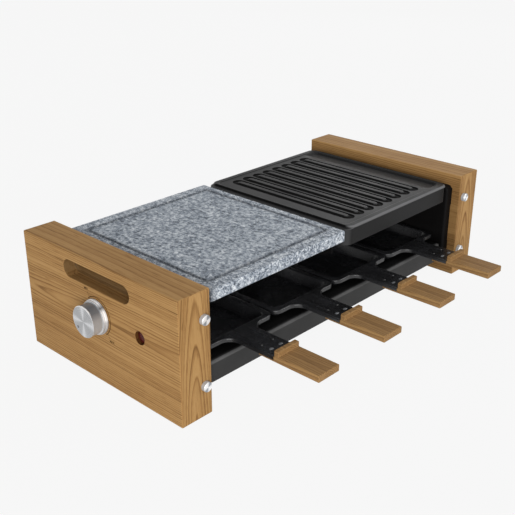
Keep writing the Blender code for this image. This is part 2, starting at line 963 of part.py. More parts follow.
pit_floor = well_floor - pit_sink
pit_foot = rib_flank + pit_floor_width
pit_mesh = lofted_mesh(
    "pit",
    [
        rib_ring(pit_foot + pit_slope, rib_hip, well_floor + cut_overrun),
        rib_ring(pit_foot + pit_slope, rib_hip, well_floor),
        rib_ring(pit_foot, rib_hip, pit_floor),
    ],
)
rib_top = well_floor + rib_rise
rib_mesh = lofted_mesh(
    "rib",
    [
        rib_ring(-rib_edge_round, 0, rib_top),
        rib_ring(0, 0, rib_top - rib_edge_round),
        rib_ring(rib_flank, rib_hip, pit_floor),
        rib_ring(rib_flank, rib_hip, pit_floor - grill_floor / 3),
    ],
)
for number in range(rib_count):
    rib_x = first_rib + number * rib_pitch
    cut(grill, as_cutter(f"pit {number + 1}", pit_mesh, (rib_x, 0, 0), parent=grill_lift))
    join(grill, as_cutter(f"rib {number + 1}", rib_mesh, (rib_x, 0, 0), parent=grill_lift))


def channel_ring(near_in, far_in, end_in, height):
    points = round_rectangle(
        channel_far - channel_width + near_in,
        channel_far - far_in,
        end_in - channel_end,
        channel_end - end_in,
        channel_corner - far_in,
        3,
    )
    return lifted(points, height)


channel_mesh = lofted_mesh(
    "channel",
    [
        channel_ring(0, 0, 0, well_floor + cut_overrun),
        channel_ring(0, 0, 0, well_floor),
        channel_ring(
            channel_near_slope, channel_far_slope, channel_end_slope, well_floor - channel_sink
        ),
    ],
)
cut(grill, as_cutter("channel", channel_mesh, (0, 0, 0), parent=grill_lift))


# Rails from end plate to end plate, and the bars that hang on them
for end, end_name in ((-1, "front"), (1, "back")):
    place(
        f"rail_{end_name}",
        cylinder_mesh(f"rail_{end_name}", rail_radius, 2 * (hearth_end + rail_end_reach), small_round_steps),
        rail_steel,
        location=(0, end * rail_spread, rail_height),
        rotation=(0, math.pi / 2, 0),
    )


def hanging_bar(name, middle_x, top, half_span, shoulder):
    """A strip set across the rails, with holes for them and for the element's runs."""
    foot = element_height - hanger_foot_drop
    outline = [
        (-half_span, top),
        (-half_span, shoulder),
        (-hanger_foot_half_span, foot),
        (hanger_foot_half_span, foot),
        (half_span, shoulder),
        (half_span, top),
    ]
    body = place(
        name,
        outline_mesh(name, outline, bar_gauge, side_plane),
        black_steel,
        location=(middle_x, 0, 0),
    )
    hole_length = bar_gauge + 2 * cut_overrun
    rail_hole = cylinder_mesh(
        name + " rail hole", rail_radius + bore_gap, hole_length, small_round_steps
    )
    run_hole = cylinder_mesh(
        name + " run hole", element_radius + bore_gap, hole_length, small_round_steps
    )
    holes = [(rail_hole, end * rail_spread, rail_height) for end in (-1, 1)]
    holes += [
        (run_hole, number * element_pitch - element_run_outer, element_height)
        for number in range(element_runs)
    ]
    for number, (mesh, y, z) in enumerate(holes):
        cut(body, as_cutter(f"{name} hole {number}", mesh, (middle_x, y, z), (0, math.pi / 2, 0)))
    return body


crossbar = hanging_bar(
    "crossbar", crossbar_x, stone_seat, crossbar_half_span, stone_seat - crossbar_shoulder_drop
)
for flange_name, reach, top in (
    ("stone flange", -crossbar_stone_reach, stone_seat),
    ("grill flange", crossbar_grill_reach, grill_seat),
):
    flange = box_mesh(flange_name, abs(reach), 2 * crossbar_half_span, bar_gauge)
    join(crossbar, as_cutter(flange_name, flange, (crossbar_x + reach / 2, 0, top - bar_gauge / 2)))
hanging_bar(
    "element_hanger",
    hearth_end - hanger_from_end,
    rail_height + rail_radius + hanger_rise,
    hanger_foot_half_span,
    element_height,
)


# Heating element: one tube in four runs, both tails through the left end plate
def element_route():
    outer = element_run_outer
    radius = element_pitch / 2
    far = hearth_end - element_turn_inset - radius
    near = -far
    tail_x = -hearth_end - element_tail
    route = [(tail_x, -outer)]
    route += arc(far, -outer + radius, radius, -90, 90, turn_steps)
    route += [(u, v) for u, v in reversed(arc(near, 0, radius, 90, 270, turn_steps))]
    route += arc(far, outer - radius, radius, -90, 90, turn_steps)
    route += [(tail_x, outer)]
    return [(u, v, element_height) for u, v in route]


element_data = bpy.data.curves.new("heating_element", "CURVE")
element_data.dimensions = "3D"
element_data.bevel_depth = element_radius
element_data.bevel_resolution = 2
element_data.use_fill_caps = True
element_line = element_data.splines.new("POLY")
element_points = element_route()
element_line.points.add(len(element_points) - 1)
for at, point in zip(element_line.points, element_points):
    at.co = (*point, 1)
element_line.use_smooth = True
heating_element = bpy.data.objects.new("heating_element", element_data)
element_data.materials.append(element_steel)
heating_element.parent = root
parts.objects.link(heating_element)


# Controls: thermostat in the pocket, shaft, knob, lens and lamp
thermostat_x = -pocket_bottom_x + seat_gap + thermostat_depth / 2
thermostat = place(
    "thermostat",
    outline_mesh(
        "thermostat",
        round_rectangle(
            -thermostat_width / 2,
            thermostat_width / 2,
            -thermostat_width / 2,
            thermostat_width / 2,
            thermostat_corner,
            2,
        ),
        thermostat_depth,
        side_plane,
    ),
    control_plastic,
    location=(thermostat_x, knob_middle, knob_height),
)
bushing_length = wall_thickness - bushing_end_gap + seat_gap + thermostat_depth / 2
bushing = cylinder_mesh("bushing", bushing_radius, bushing_length, round_steps)
bushing_x = thermostat_x - bushing_length / 2
join(thermostat, as_cutter("bushing", bushing, (bushing_x, knob_middle, knob_height), (0, math.pi / 2, 0)))
shaft_inner_x = -pocket_bottom_x + seat_gap + shaft_in_thermostat
shaft_outer_x = -outer_face - knob_gap - shaft_in_knob
shaft_length = shaft_inner_x - shaft_outer_x
shaft_hole_length = shaft_length + socket_gap + cut_overrun
shaft_hole = cylinder_mesh(
    "shaft hole", shaft_radius + socket_gap, shaft_hole_length, small_round_steps
)
shaft_hole_x = shaft_inner_x + socket_gap - shaft_hole_length / 2
cut(
    thermostat,
    as_cutter("shaft hole", shaft_hole, (shaft_hole_x, knob_middle, knob_height), (0, math.pi / 2, 0)),
)

knob_turn = empty("knob_turn", (-outer_face, knob_middle, knob_height), root)
knob_turn.rotation_euler = (0, -math.pi / 2, 0)
knob_profile = [
    (0, knob_reach),
    (knob_radius - knob_edge_round, knob_reach),
    (knob_radius, knob_reach - knob_edge_round),
    (knob_radius, knob_reach - knob_lip),
    (knob_waist_radius, knob_reach - knob_lip - knob_edge_round),
    (knob_waist_radius, knob_gap + knob_ring_height),
    (knob_ring_radius, knob_gap + knob_ring_height),
    (knob_ring_radius, knob_gap + knob_flange_height),
    (knob_flange_radius, knob_gap + knob_flange_height),
    (knob_flange_radius, knob_gap),
    (shaft_radius + socket_gap, knob_gap),
    (shaft_radius + socket_gap, knob_gap + shaft_in_knob + socket_gap),
    (0, knob_gap + shaft_in_knob + socket_gap),
]
knob_mesh = turned_mesh("control_knob", knob_profile, round_steps)
place("control_knob", knob_mesh, knob_aluminium, parent=knob_turn)
shaft_middle = -(shaft_inner_x + shaft_outer_x) / 2 - outer_face
place(
    "control_shaft",
    cylinder_mesh("control_shaft", shaft_radius, shaft_length, small_round_steps),
    shaft_steel,
    parent=knob_turn,
    location=(0, 0, shaft_middle),
)

lens_length = panel_thickness - pocket_sink - lens_sunk
lens_shaft_radius = lens_radius - bore_gap
lens_profile = [
    (0, lens_length / 2),
    (lens_shaft_radius / 2, lens_length / 2 - lens_dome / 4),
    (lens_shaft_radius, lens_length / 2 - lens_dome),
    (lens_shaft_radius, -lens_length / 2),
    (0, -lens_length / 2),
]
lens_x = -outer_face + lens_sunk + lens_length / 2
place(
    "indicator_lens",
    turned_mesh("indicator_lens", lens_profile, round_steps),
    lens_red,
    location=(lens_x, lens_middle, knob_height),
    rotation=(0, -math.pi / 2, 0),
)
lamp_x = -pocket_bottom_x + seat_gap + lamp_length / 2
place(
    "lamp_holder",
    cylinder_mesh("lamp_holder", lamp_radius, lamp_length, small_round_steps),
    control_plastic,
    location=(lamp_x, lens_middle, knob_height),
    rotation=(0, math.pi / 2, 0),
)


# Gland in the back edge of the control panel, open right through to the pocket
gland_profile = [
    (gland_mouth_radius, gland_flange_height),
    (gland_flange_radius, gland_flange_height),
    (gland_flange_radius, seat_gap),
    (gland_radius - bore_gap, seat_gap),
    (gland_radius - bore_gap, -gland_tail),
    (gland_mouth_radius, -gland_tail),
    (gland_mouth_radius, gland_flange_height),
]
place(
    "cord_gland",
    turned_mesh("cord_gland", gland_profile, small_round_steps),
    gland_plastic,
    location=(gland_x, panel_depth / 2, gland_height),
    rotation=(-math.pi / 2, 0, 0),
)
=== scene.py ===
import math

import bmesh
import bpy
from mathutils import Matrix, Vector


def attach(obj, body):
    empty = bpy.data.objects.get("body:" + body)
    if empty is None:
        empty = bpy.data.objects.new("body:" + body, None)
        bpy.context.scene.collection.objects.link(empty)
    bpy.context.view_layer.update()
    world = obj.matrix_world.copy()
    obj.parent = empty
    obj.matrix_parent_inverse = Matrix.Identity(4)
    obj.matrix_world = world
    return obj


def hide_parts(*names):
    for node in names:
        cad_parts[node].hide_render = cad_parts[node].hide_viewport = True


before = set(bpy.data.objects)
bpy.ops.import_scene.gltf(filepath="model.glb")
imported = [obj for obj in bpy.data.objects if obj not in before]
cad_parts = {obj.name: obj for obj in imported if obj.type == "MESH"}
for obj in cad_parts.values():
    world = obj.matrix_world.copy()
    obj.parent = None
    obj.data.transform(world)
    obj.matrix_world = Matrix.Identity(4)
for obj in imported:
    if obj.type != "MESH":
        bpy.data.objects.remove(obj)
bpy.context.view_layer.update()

# Lengths are in millimetres, +X towards the plain panel, -Y towards the shown pans, +Z up
graph = bpy.context.evaluated_depsgraph_get
print("frame loaded:", len(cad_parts), "nodes")


def linearColour(hexColour):
    channels = [int(hexColour[i:i + 2], 16) / 255 for i in (1, 3, 5)]
    return [c / 12.92 if c <= 0.04045 else ((c + 0.055) / 1.055) ** 2.4 for c in channels] + [1.0]


def addNode(tree, kind, values=None, **settings):
    node = tree.nodes.new(kind)
    stops = settings.pop("stops", None)
    for name, value in settings.items():
        setattr(node, name, value)
    for socket, value in (values or {}).items():
        if isinstance(value, bpy.types.NodeSocket):
            tree.links.new(value, node.inputs[socket])
        else:
            node.inputs[socket].default_value = value
    if stops:
        ramp = node.color_ramp
        while len(ramp.elements) < len(stops):
            ramp.elements.new(0.5)
        for element, (place, colour) in zip(ramp.elements, stops):
            element.position = place
            element.color = linearColour(colour) if isinstance(colour, str) else [colour] * 3 + [1]
    return node


def startMaterial(name, **uniform):
    material = bpy.data.materials.new(name)
    material.use_nodes = True
    tree = material.node_tree
    shader = tree.nodes["Principled BSDF"]
    for socket, value in uniform.items():
        socket = socket.replace("_", " ")
        if isinstance(value, str):
            value = linearColour(value)
        shader.inputs[socket].default_value = value
    where = addNode(tree, "ShaderNodeTexCoord")
    inMillimetres = addNode(
        tree, "ShaderNodeVectorMath", {0: where.outputs["Object"], "Scale": 1000.0}, operation="SCALE"
    )
    return material, tree, shader, where, inMillimetres.outputs[0]


def endMaterial(material, tree, shader, **linked):
    for socket, value in linked.items():
        tree.links.new(value, shader.inputs[socket.replace("_", " ")])
    return material


# Mesh helpers: every outline is a list of points, every shape ends as a mesh in metres
def roundRing(lowU, highU, lowV, highV, radius, steps):
    centres = (
        (highU - radius, lowV + radius), (highU - radius, highV - radius),
        (lowU + radius, highV - radius), (lowU + radius, lowV + radius),
    )
    points = []
    for corner, (u, v) in enumerate(centres):
        for i in range(steps + 1):
            angle = math.pi / 2 * (corner - 1 + i / steps)
            points.append((u + radius * math.cos(angle), v + radius * math.sin(angle)))
    return [point for i, point in enumerate(points) if math.dist(point, points[i - 1]) > 1e-6]


def quarter(steps):
    # how far out and how far down each step of a quarter bend lies, as shares of its radius
    return [(math.sin(math.pi / 2 * i / steps), 1 - math.cos(math.pi / 2 * i / steps)) for i in range(steps + 1)]


def atHeight(points, height):
    return [(u, v, height) for u, v in points]


def addLoft(work, rings, caps=True):
    rows = [[work.verts.new(point) for point in ring] for ring in rings]
    for upper, lower in zip(rows, rows[1:]):
        for i in range(len(upper)):
            work.faces.new((upper[i - 1], upper[i], lower[i], lower[i - 1]))
    if caps:
        work.faces.new(rows[0])
        work.faces.new(rows[-1])


def addLathe(work, profile, steps):
    # a profile of (radius, height) pairs turned about Z, closed where a radius is zero
    rings = [
        [(radius * math.cos(2 * math.pi * i / steps), radius * math.sin(2 * math.pi * i / steps), height)
         for i in range(steps)]
        for radius, height in profile
    ]
    addLoft(work, rings, caps=False)


def writeMesh(work, name):
    bmesh.ops.scale(work, vec=(0.001, 0.001, 0.001), verts=work.verts)
    mesh = bpy.data.meshes.new(name)
    work.to_mesh(mesh)
    work.free()
    return mesh


def toMesh(work, name, turn=None):
    bmesh.ops.remove_doubles(work, verts=work.verts, dist=0.0005)
    bmesh.ops.recalc_face_normals(work, faces=work.faces)
    if turn:
        bmesh.ops.transform(work, matrix=turn, verts=work.verts)
    return writeMesh(work, name)


def loftMesh(name, rings):
    work = bmesh.new()
    addLoft(work, rings)
    return toMesh(work, name)


def latheMesh(name, profile, steps, turn=None):
    work = bmesh.new()
    addLathe(work, profile, steps)
    return toMesh(work, name, turn)


def boxMesh(name, low, high):
    corners = [(low[0], low[1]), (high[0], low[1]), (high[0], high[1]), (low[0], high[1])]
    return loftMesh(name, [atHeight(corners, low[2]), atHeight(corners, high[2])])


def looseObject(name, mesh):
    made = bpy.data.objects.new(name, mesh)
    bpy.context.scene.collection.objects.link(made)
    return made


def evaluatedMesh(source):
    bpy.context.view_layer.update()
    return bpy.data.meshes.new_from_object(source.evaluated_get(graph()))


def settle(source):
    # the evaluated object as a plain mesh, its modifiers gone
    mesh = evaluatedMesh(source)
    source.modifiers.clear()
    source.data = mesh
    return source


def fromCurve(name, curve):
    made = looseObject(name, curve)
    mesh = evaluatedMesh(made)
    bpy.data.objects.remove(made)
    return looseObject(name, mesh)


def cutAway(body, *meshes):
    for number, mesh in enumerate(meshes):
        cutter = looseObject(f"cutter{number}", mesh)
        modifier = body.modifiers.new("cut", "BOOLEAN")
        modifier.operation = "DIFFERENCE"
        modifier.solver = "EXACT"
        modifier.object = cutter
        settle(body)
        bpy.data.objects.remove(cutter)
    return body


def smoothAll(piece):
    piece.data.polygons.foreach_set("use_smooth", [True] * len(piece.data.polygons))


def smoothShade(piece, angle=35):
    smoothAll(piece)
    piece.data.set_sharp_from_angle(angle=math.radians(angle))
    weighted = piece.modifiers.new("weighted normals", "WEIGHTED_NORMAL")
    weighted.keep_sharp = True
    return settle(piece)


def roundEdges(piece, width, steps):
    modifier = piece.modifiers.new("rounded edges", "BEVEL")
    modifier.width = width / 1000
    modifier.segments = steps
    modifier.limit_method = "ANGLE"
    modifier.angle_limit = math.radians(40)
    return settle(piece)


def finishPiece(piece, material, body, stands=(), angle=35):
    piece.data.materials.clear()
    piece.data.materials.append(material)
    smoothShade(piece, angle)
    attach(piece, body)
    if stands:
        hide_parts(*stands)
    return piece


def runNodes(source, tree, values):
    modifier = source.modifiers.new(tree.name, "NODES")
    modifier.node_group = tree
    for item in tree.interface.items_tree:
        if item.item_type == "SOCKET" and item.in_out == "INPUT" and item.name in values:
            modifier[item.identifier] = values[item.name]
    return settle(source)


def startNodes(name, sockets):
    tree = bpy.data.node_groups.new(name, "GeometryNodeTree")
    tree.interface.new_socket("Geometry", in_out="INPUT", socket_type="NodeSocketGeometry")
    for socketName, kind in sockets:
        tree.interface.new_socket(socketName, in_out="INPUT", socket_type="NodeSocket" + kind)
    tree.interface.new_socket("Geometry", in_out="OUTPUT", socket_type="NodeSocketGeometry")
    return tree, addNode(tree, "NodeGroupInput").outputs


def endNodes(tree, parts, material):
    joined = addNode(tree, "GeometryNodeJoinGeometry", {0: parts[0]})
    for part in parts[1:]:
        tree.links.new(part, joined.inputs[0])
    real = addNode(tree, "GeometryNodeRealizeInstances", {0: joined.outputs[0]}).outputs[0]
    painted = addNode(tree, "GeometryNodeSetMaterial", {"Geometry": real, "Material": material}).outputs[0]
    addNode(tree, "NodeGroupOutput", {0: painted})
    return tree


# Wood: oiled oak sawn close to the heart, so its rings run out along each board in long narrow arches
def boardPlace(tree, look, axes, fromMiddle):
    # depth before the heart, way along the grain and way across it
    if look["upright"]:
        depth = addNode(tree, "ShaderNodeMath", {0: fromMiddle}, operation="ABSOLUTE").outputs[0]
        across = axes[2]
    else:
        depth = axes[2]
        across = addNode(
            tree, "ShaderNodeMath", {0: fromMiddle, 1: 0.0, 2: look["apart"]}, operation="WRAP"
        ).outputs[0]
    depth = addNode(tree, "ShaderNodeMath", {0: depth, 1: look["heart"][0]}, operation="SUBTRACT").outputs[0]
    depth = addNode(
        tree, "ShaderNodeMath", {0: axes[1], 1: look["lean"], 2: depth}, operation="MULTIPLY_ADD"
    ).outputs[0]
    across = addNode(tree, "ShaderNodeMath", {0: across, 1: look["heart"][1]}, operation="SUBTRACT").outputs[0]
    return addNode(tree, "ShaderNodeCombineXYZ", {0: depth, 1: axes[1], 2: across}).outputs[0]


def withNarrowEdges(tree, look, board, axes, outward, aside, facing):
    # the narrow upright edges, whose arches stand on end
    depth = addNode(tree, "ShaderNodeMath", {0: look["edgeHeart"][0], 1: aside}, operation="SUBTRACT").outputs[0]
    depth = addNode(
        tree, "ShaderNodeMath", {0: axes[2], 1: look["edgeLean"], 2: depth}, operation="MULTIPLY_ADD"
    ).outputs[0]
    across = addNode(tree, "ShaderNodeMath", {0: outward, 1: look["edgeHeart"][1]}, operation="SUBTRACT").outputs[0]
    edge = addNode(tree, "ShaderNodeCombineXYZ", {0: depth, 1: axes[2], 2: across}).outputs[0]
    # the upper edges, where the rings are cut across and lie as close straight lines
    depth = addNode(
        tree, "ShaderNodeMath", {0: axes[1], 1: look["lean"], 2: outward}, operation="MULTIPLY_ADD"
    ).outputs[0]
    depth = addNode(tree, "ShaderNodeMath", {0: depth, 1: look["upperSpread"]}, operation="MULTIPLY").outputs[0]
    upper = addNode(tree, "ShaderNodeCombineXYZ", {0: depth, 1: axes[1], 2: axes[2]}).outputs[0]
    sideways = addNode(tree, "ShaderNodeMath", {0: facing["Y"]}, operation="ABSOLUTE").outputs[0]
    for towards, there in ((sideways, edge), (facing["Z"], upper)):
        onIt = addNode(
            tree, "ShaderNodeMath", {0: towards, 1: look["faceLimit"]}, operation="GREATER_THAN"
        ).outputs[0]
        board = addNode(tree, "ShaderNodeMix", {0: onIt, 4: board, 5: there}, data_type="VECTOR").outputs[1]
    return board, onIt


def panelTints(tree, look, place, normal, axes, outward, aside):
    # routed and drilled faces carry painted shade: the recess and the lamp bore are darker
    recess = look["recess"]
    start, full = look["sunk"]
    sunk = addNode(
        tree, "ShaderNodeMapRange", {"Value": outward, "From Min": start, "From Max": full}
    ).outputs[0]
    beyondEnd = addNode(tree, "ShaderNodeMath", {0: aside, 1: recess["halfLength"]}, operation="SUBTRACT").outputs[0]
    fromLine = addNode(tree, "ShaderNodeMath", {0: axes[2], 1: recess["height"]}, operation="SUBTRACT").outputs[0]
    fromLine = addNode(tree, "ShaderNodeMath", {0: fromLine}, operation="ABSOLUTE").outputs[0]
    beyondSide = addNode(
        tree, "ShaderNodeMath", {0: fromLine, 1: recess["halfWidth"]}, operation="SUBTRACT"
    ).outputs[0]
    outside = addNode(tree, "ShaderNodeMath", {0: beyondEnd, 1: beyondSide}, operation="MAXIMUM").outputs[0]
    toLens = addNode(
        tree, "ShaderNodeVectorMath", {0: place, 1: look["lens"]}, operation="DISTANCE"
    ).outputs["Value"]
    beyondLens = addNode(tree, "ShaderNodeMath", {0: toLens, 1: look["lensReach"]}, operation="SUBTRACT").outputs[0]
    outside = addNode(tree, "ShaderNodeMath", {0: outside, 1: beyondLens}, operation="MINIMUM").outputs[0]
    inside = addNode(tree, "ShaderNodeMath", {0: outside, 1: 0.0}, operation="LESS_THAN").outputs[0]
    deep = addNode(tree, "ShaderNodeMath", {0: outward, 1: look["deepest"]}, operation="GREATER_THAN").outputs[0]
    sunk = addNode(tree, "ShaderNodeMath", {0: sunk, 1: deep}, operation="MULTIPLY").outputs[0]
    paintedWoodShade = addNode(tree, "ShaderNodeMath", {0: inside, 1: sunk}, operation="MULTIPLY").outputs[0]
    # the faces beside the hot plates carry painted shade, most of all at plate height
    start, full = look["innerFace"]
    inner = addNode(
        tree, "ShaderNodeMapRange", {"Value": outward, "From Min": start, "From Max": full}
    ).outputs[0]
    start, full, most = look["plateSideShadeReach"]
    near = addNode(
        tree, "ShaderNodeMapRange", {"Value": axes[2], "From Min": start, "From Max": full, "To Max": most}
    ).outputs[0]
    plateSideShade = addNode(tree, "ShaderNodeMath", {0: inner, 1: near}, operation="MULTIPLY").outputs[0]
    # painted shade on the wall of the lamp bore
    boreShade = addNode(tree, "ShaderNodeMath", {0: beyondLens, 1: 0.0}, operation="LESS_THAN").outputs[0]
    boreShade = addNode(tree, "ShaderNodeMath", {0: boreShade, 1: sunk}, operation="MULTIPLY").outputs[0]
    tints = [(paintedWoodShade, look["paintedWoodShade"]), (plateSideShade, look["paintedWoodShade"]), (boreShade, look["boreShade"])]
    # in the carrying recess painted shade makes the back the darkest and the ends next, while painted light brightens
    # the long sides
    carried = addNode(tree, "ShaderNodeMath", {0: beyondLens, 1: 0.0}, operation="GREATER_THAN").outputs[0]
    carried = addNode(tree, "ShaderNodeMath", {0: carried, 1: paintedWoodShade}, operation="MULTIPLY").outputs[0]
    turned = addNode(tree, "ShaderNodeVectorMath", {0: normal}, operation="ABSOLUTE").outputs[0]
    turned = addNode(tree, "ShaderNodeSeparateXYZ", {0: turned}).outputs
    for facing, (low, high, tone) in zip(turned, look["recessShadeAndLight"]):
        share = addNode(tree, "ShaderNodeMapRange", {"Value": facing, "From Min": low, "From Max": high}).outputs[0]
        share = addNode(tree, "ShaderNodeMath", {0: share, 1: carried}, operation="MULTIPLY").outputs[0]
        tints.append((share, tone))
    return tints


def makeOiledWood(name, look):
    material, tree, shader, where, place = startMaterial(
        name, IOR=1.48, Specular_IOR_Level=look["sheen"], Metallic=0.0
    )
    axes = addNode(tree, "ShaderNodeSeparateXYZ", {0: place}).outputs
    fromMiddle = addNode(tree, "ShaderNodeMath", {0: axes[0], 1: look["middle"]}, operation="SUBTRACT").outputs[0]
    board = boardPlace(tree, look, axes, fromMiddle)
    if look["upright"]:
        outward = addNode(tree, "ShaderNodeMath", {0: fromMiddle}, operation="ABSOLUTE").outputs[0]
        aside = addNode(tree, "ShaderNodeMath", {0: axes[1]}, operation="ABSOLUTE").outputs[0]
        facing = addNode(tree, "ShaderNodeSeparateXYZ", {0: where.outputs["Normal"]}).outputs
        board, onUpper = withNarrowEdges(tree, look, board, axes, outward, aside, facing)
    # noises drawn out along the grain: wander of the rings, fibres, pores and patches
    noises = {}
    for part, (detail, roughness) in {
        "wander": (2.0, 0.5), "fibre": (3.0, 0.62), "pore": (1.0, 0.5), "patch": (2.0, 0.5),
    }.items():
        drawnOut = addNode(tree, "ShaderNodeVectorMath", {0: board, 1: look[part]}, operation="MULTIPLY").outputs[0]
        noises[part] = addNode(
            tree, "ShaderNodeTexNoise", {"Vector": drawnOut, "Scale": 1.0, "Detail": detail, "Roughness": roughness}
        ).outputs[0]
    across = addNode(tree, "ShaderNodeVectorMath", {0: board, 1: (1, 0, 1)}, operation="MULTIPLY").outputs[0]
    fromHeart = addNode(tree, "ShaderNodeVectorMath", {0: across}, operation="LENGTH").outputs["Value"]
    reach = addNode(
        tree, "ShaderNodeMath", {0: noises["wander"], 1: look["wanderReach"], 2: fromHeart}, operation="MULTIPLY_ADD"
    ).outputs[0]
    rings = addNode(tree, "ShaderNodeMath", {0: reach, 1: look["ringWidth"]}, operation="DIVIDE").outputs[0]
    uneven = addNode(
        tree, "ShaderNodeTexNoise", {"W": rings, "Scale": 0.37, "Detail": 2.0, "Roughness": 0.6},
        noise_dimensions="1D",
    ).outputs[0]
    # late wood: each ring darkens slowly and ends in a thin dark line
    phase = addNode(
        tree, "ShaderNodeMath", {0: uneven, 1: look["unevenness"], 2: rings}, operation="MULTIPLY_ADD"
    ).outputs[0]
    phase = addNode(tree, "ShaderNodeMath", {0: phase}, operation="FRACT").outputs[0]
    late = addNode(tree, "ShaderNodeValToRGB", {0: phase}, stops=look["lateWood"]).outputs[0]
    pores = addNode(
        tree, "ShaderNodeMapRange",
        {"Value": noises["pore"], "From Min": 0.58, "From Max": 0.7, "To Min": 0.0, "To Max": 1.0},
    ).outputs[0]
    # one darkness value from all of them
    shares = look["shares"]
    strength = addNode(
        tree, "ShaderNodeMapRange",
        {"Value": uneven, "From Min": 0.36, "From Max": 0.62, "To Min": 0.15, "To Max": shares["rings"]},
    ).outputs[0]
    if look["upright"]:
        faint = addNode(
            tree, "ShaderNodeMapRange", {"Value": onUpper, "To Min": 1.0, "To Max": look["upperRings"]}
        ).outputs[0]
        strength = addNode(tree, "ShaderNodeMath", {0: strength, 1: faint}, operation="MULTIPLY").outputs[0]
    dark = addNode(tree, "ShaderNodeMath", {0: late, 1: strength}, operation="MULTIPLY").outputs[0]
    for part, value in {
        "uneven": uneven, "fibre": noises["fibre"], "pores": pores, "patch": noises["patch"],
    }.items():
        dark = addNode(
            tree, "ShaderNodeMath", {0: value, 1: shares[part], 2: dark}, operation="MULTIPLY_ADD"
        ).outputs[0]
    colour = addNode(tree, "ShaderNodeValToRGB", {0: dark}, stops=look["colours"]).outputs[0]
    if look["upright"]:
        # painted shade and painted light of the recesses, the lamp bore and the faces beside the plates
        for share, tone in panelTints(tree, look, place, where.outputs["Normal"], axes, outward, aside):
            colour = addNode(
                tree, "ShaderNodeMix", {0: share, 6: colour, 7: (*tone, 1.0)},
                data_type="RGBA", blend_type="MULTIPLY",
            ).outputs[2]
    gloss = addNode(
        tree, "ShaderNodeMapRange",
        {"Value": dark, "From Min": 0.2, "From Max": 0.9, "To Min": look["gloss"][0], "To Max": look["gloss"][1]},
    ).outputs[0]
    depth = addNode(
        tree, "ShaderNodeMath", {0: pores, 1: 0.7, 2: noises["fibre"]}, operation="MULTIPLY_ADD"
    ).outputs[0]
    relief = addNode(
        tree, "ShaderNodeBump", {"Height": depth, "Strength": look["relief"], "Distance": 0.00012}, invert=True
    ).outputs[0]
    return endMaterial(material, tree, shader, Base_Color=colour, Roughness=gloss, Normal=relief)


lateWood = [(0.0, 0.0), (0.5, 0.1), (0.8, 0.5), (0.92, 1.0), (1.0, 0.05)]
# side panels: rings 2.3 mm apart, the heart 12 mm behind the outer face at knob height
panelWood = {
    "lateWood": lateWood, "unevenness": 1.6,
    "upright": True, "middle": 8.5, "heart": (236.0, 73.0), "lean": 0.02,
    "edgeHeart": (130.0, 229.5), "edgeLean": 0.055,
    "wander": (0.02, 0.006, 0.03), "wanderReach": 5.0, "ringWidth": 2.3, "fibre": (0.9, 0.014, 0.9),
    "pore": (1.5, 0.04, 1.5), "patch": (0.02, 0.006, 0.05),
    "shares": {"rings": 0.578, "uneven": 0.3, "fibre": 0.26, "pores": 0.16, "patch": 0.3},
    "recess": {"halfLength": 51.7, "height": 110.7, "halfWidth": 10.2}, "lens": (-231.5, -63.4, 73.5),
    # painted shade tones for the recess, the faces beside the plates and the lamp bore
    "paintedWoodShade": (0.66, 0.64, 0.62), "boreShade": (0.4, 0.28, 0.22), "plateSideShadeReach": (129.5, 119.5, 0.9),
    "upperSpread": 0.55, "upperRings": 0.5,
    "faceLimit": 0.72, "sunk": (247.85, 247.2), "deepest": 229.0, "lensReach": 15.0, "innerFace": (211.4, 210.3),
    # painted shade and painted light in the carrying recess, by facing
    "recessShadeAndLight": (
        (0.1, 0.5, (0.5, 0.51, 0.54)), (0.5, 0.9, (0.74, 0.77, 0.84)), (0.8, 1.0, (1.3, 1.36, 1.42)),
    ),
    "sheen": 0.12, "relief": 0.3, "gloss": (0.55, 0.68),
    "colours": [(0.26, "#b7915f"), (0.44, "#a98352"), (0.6, "#967043"), (0.8, "#785632"), (1.0, "#5c4126")],
}
# grips: browner stock with a tighter grain, one heart under the middle of each
gripWood = {
    "lateWood": lateWood, "unevenness": 1.6,
    "upright": False, "middle": 8.5, "heart": (41.0, 49.5), "apart": 99.0, "lean": 0.03, "wander": (0.04, 0.01, 0.04),
    "wanderReach": 5.0, "ringWidth": 1.9, "fibre": (1.4, 0.02, 1.4), "pore": (2.2, 0.06, 2.2),
    "patch": (0.03, 0.01, 0.03),
    "shares": {"rings": 0.51, "uneven": 0.3, "fibre": 0.3, "pores": 0.16, "patch": 0.2}, "sheen": 0.16, "relief": 0.35,
    "gloss": (0.55, 0.7),
    "colours": [(0.26, "#a48153"), (0.44, "#957248"), (0.6, "#82623d"), (0.8, "#694c2d"), (1.0, "#4f3921")],
}
oiledOak = makeOiledWood("oiledOak", panelWood)
stainedBeech = makeOiledWood("stainedBeech", gripWood)
print("wood ready")


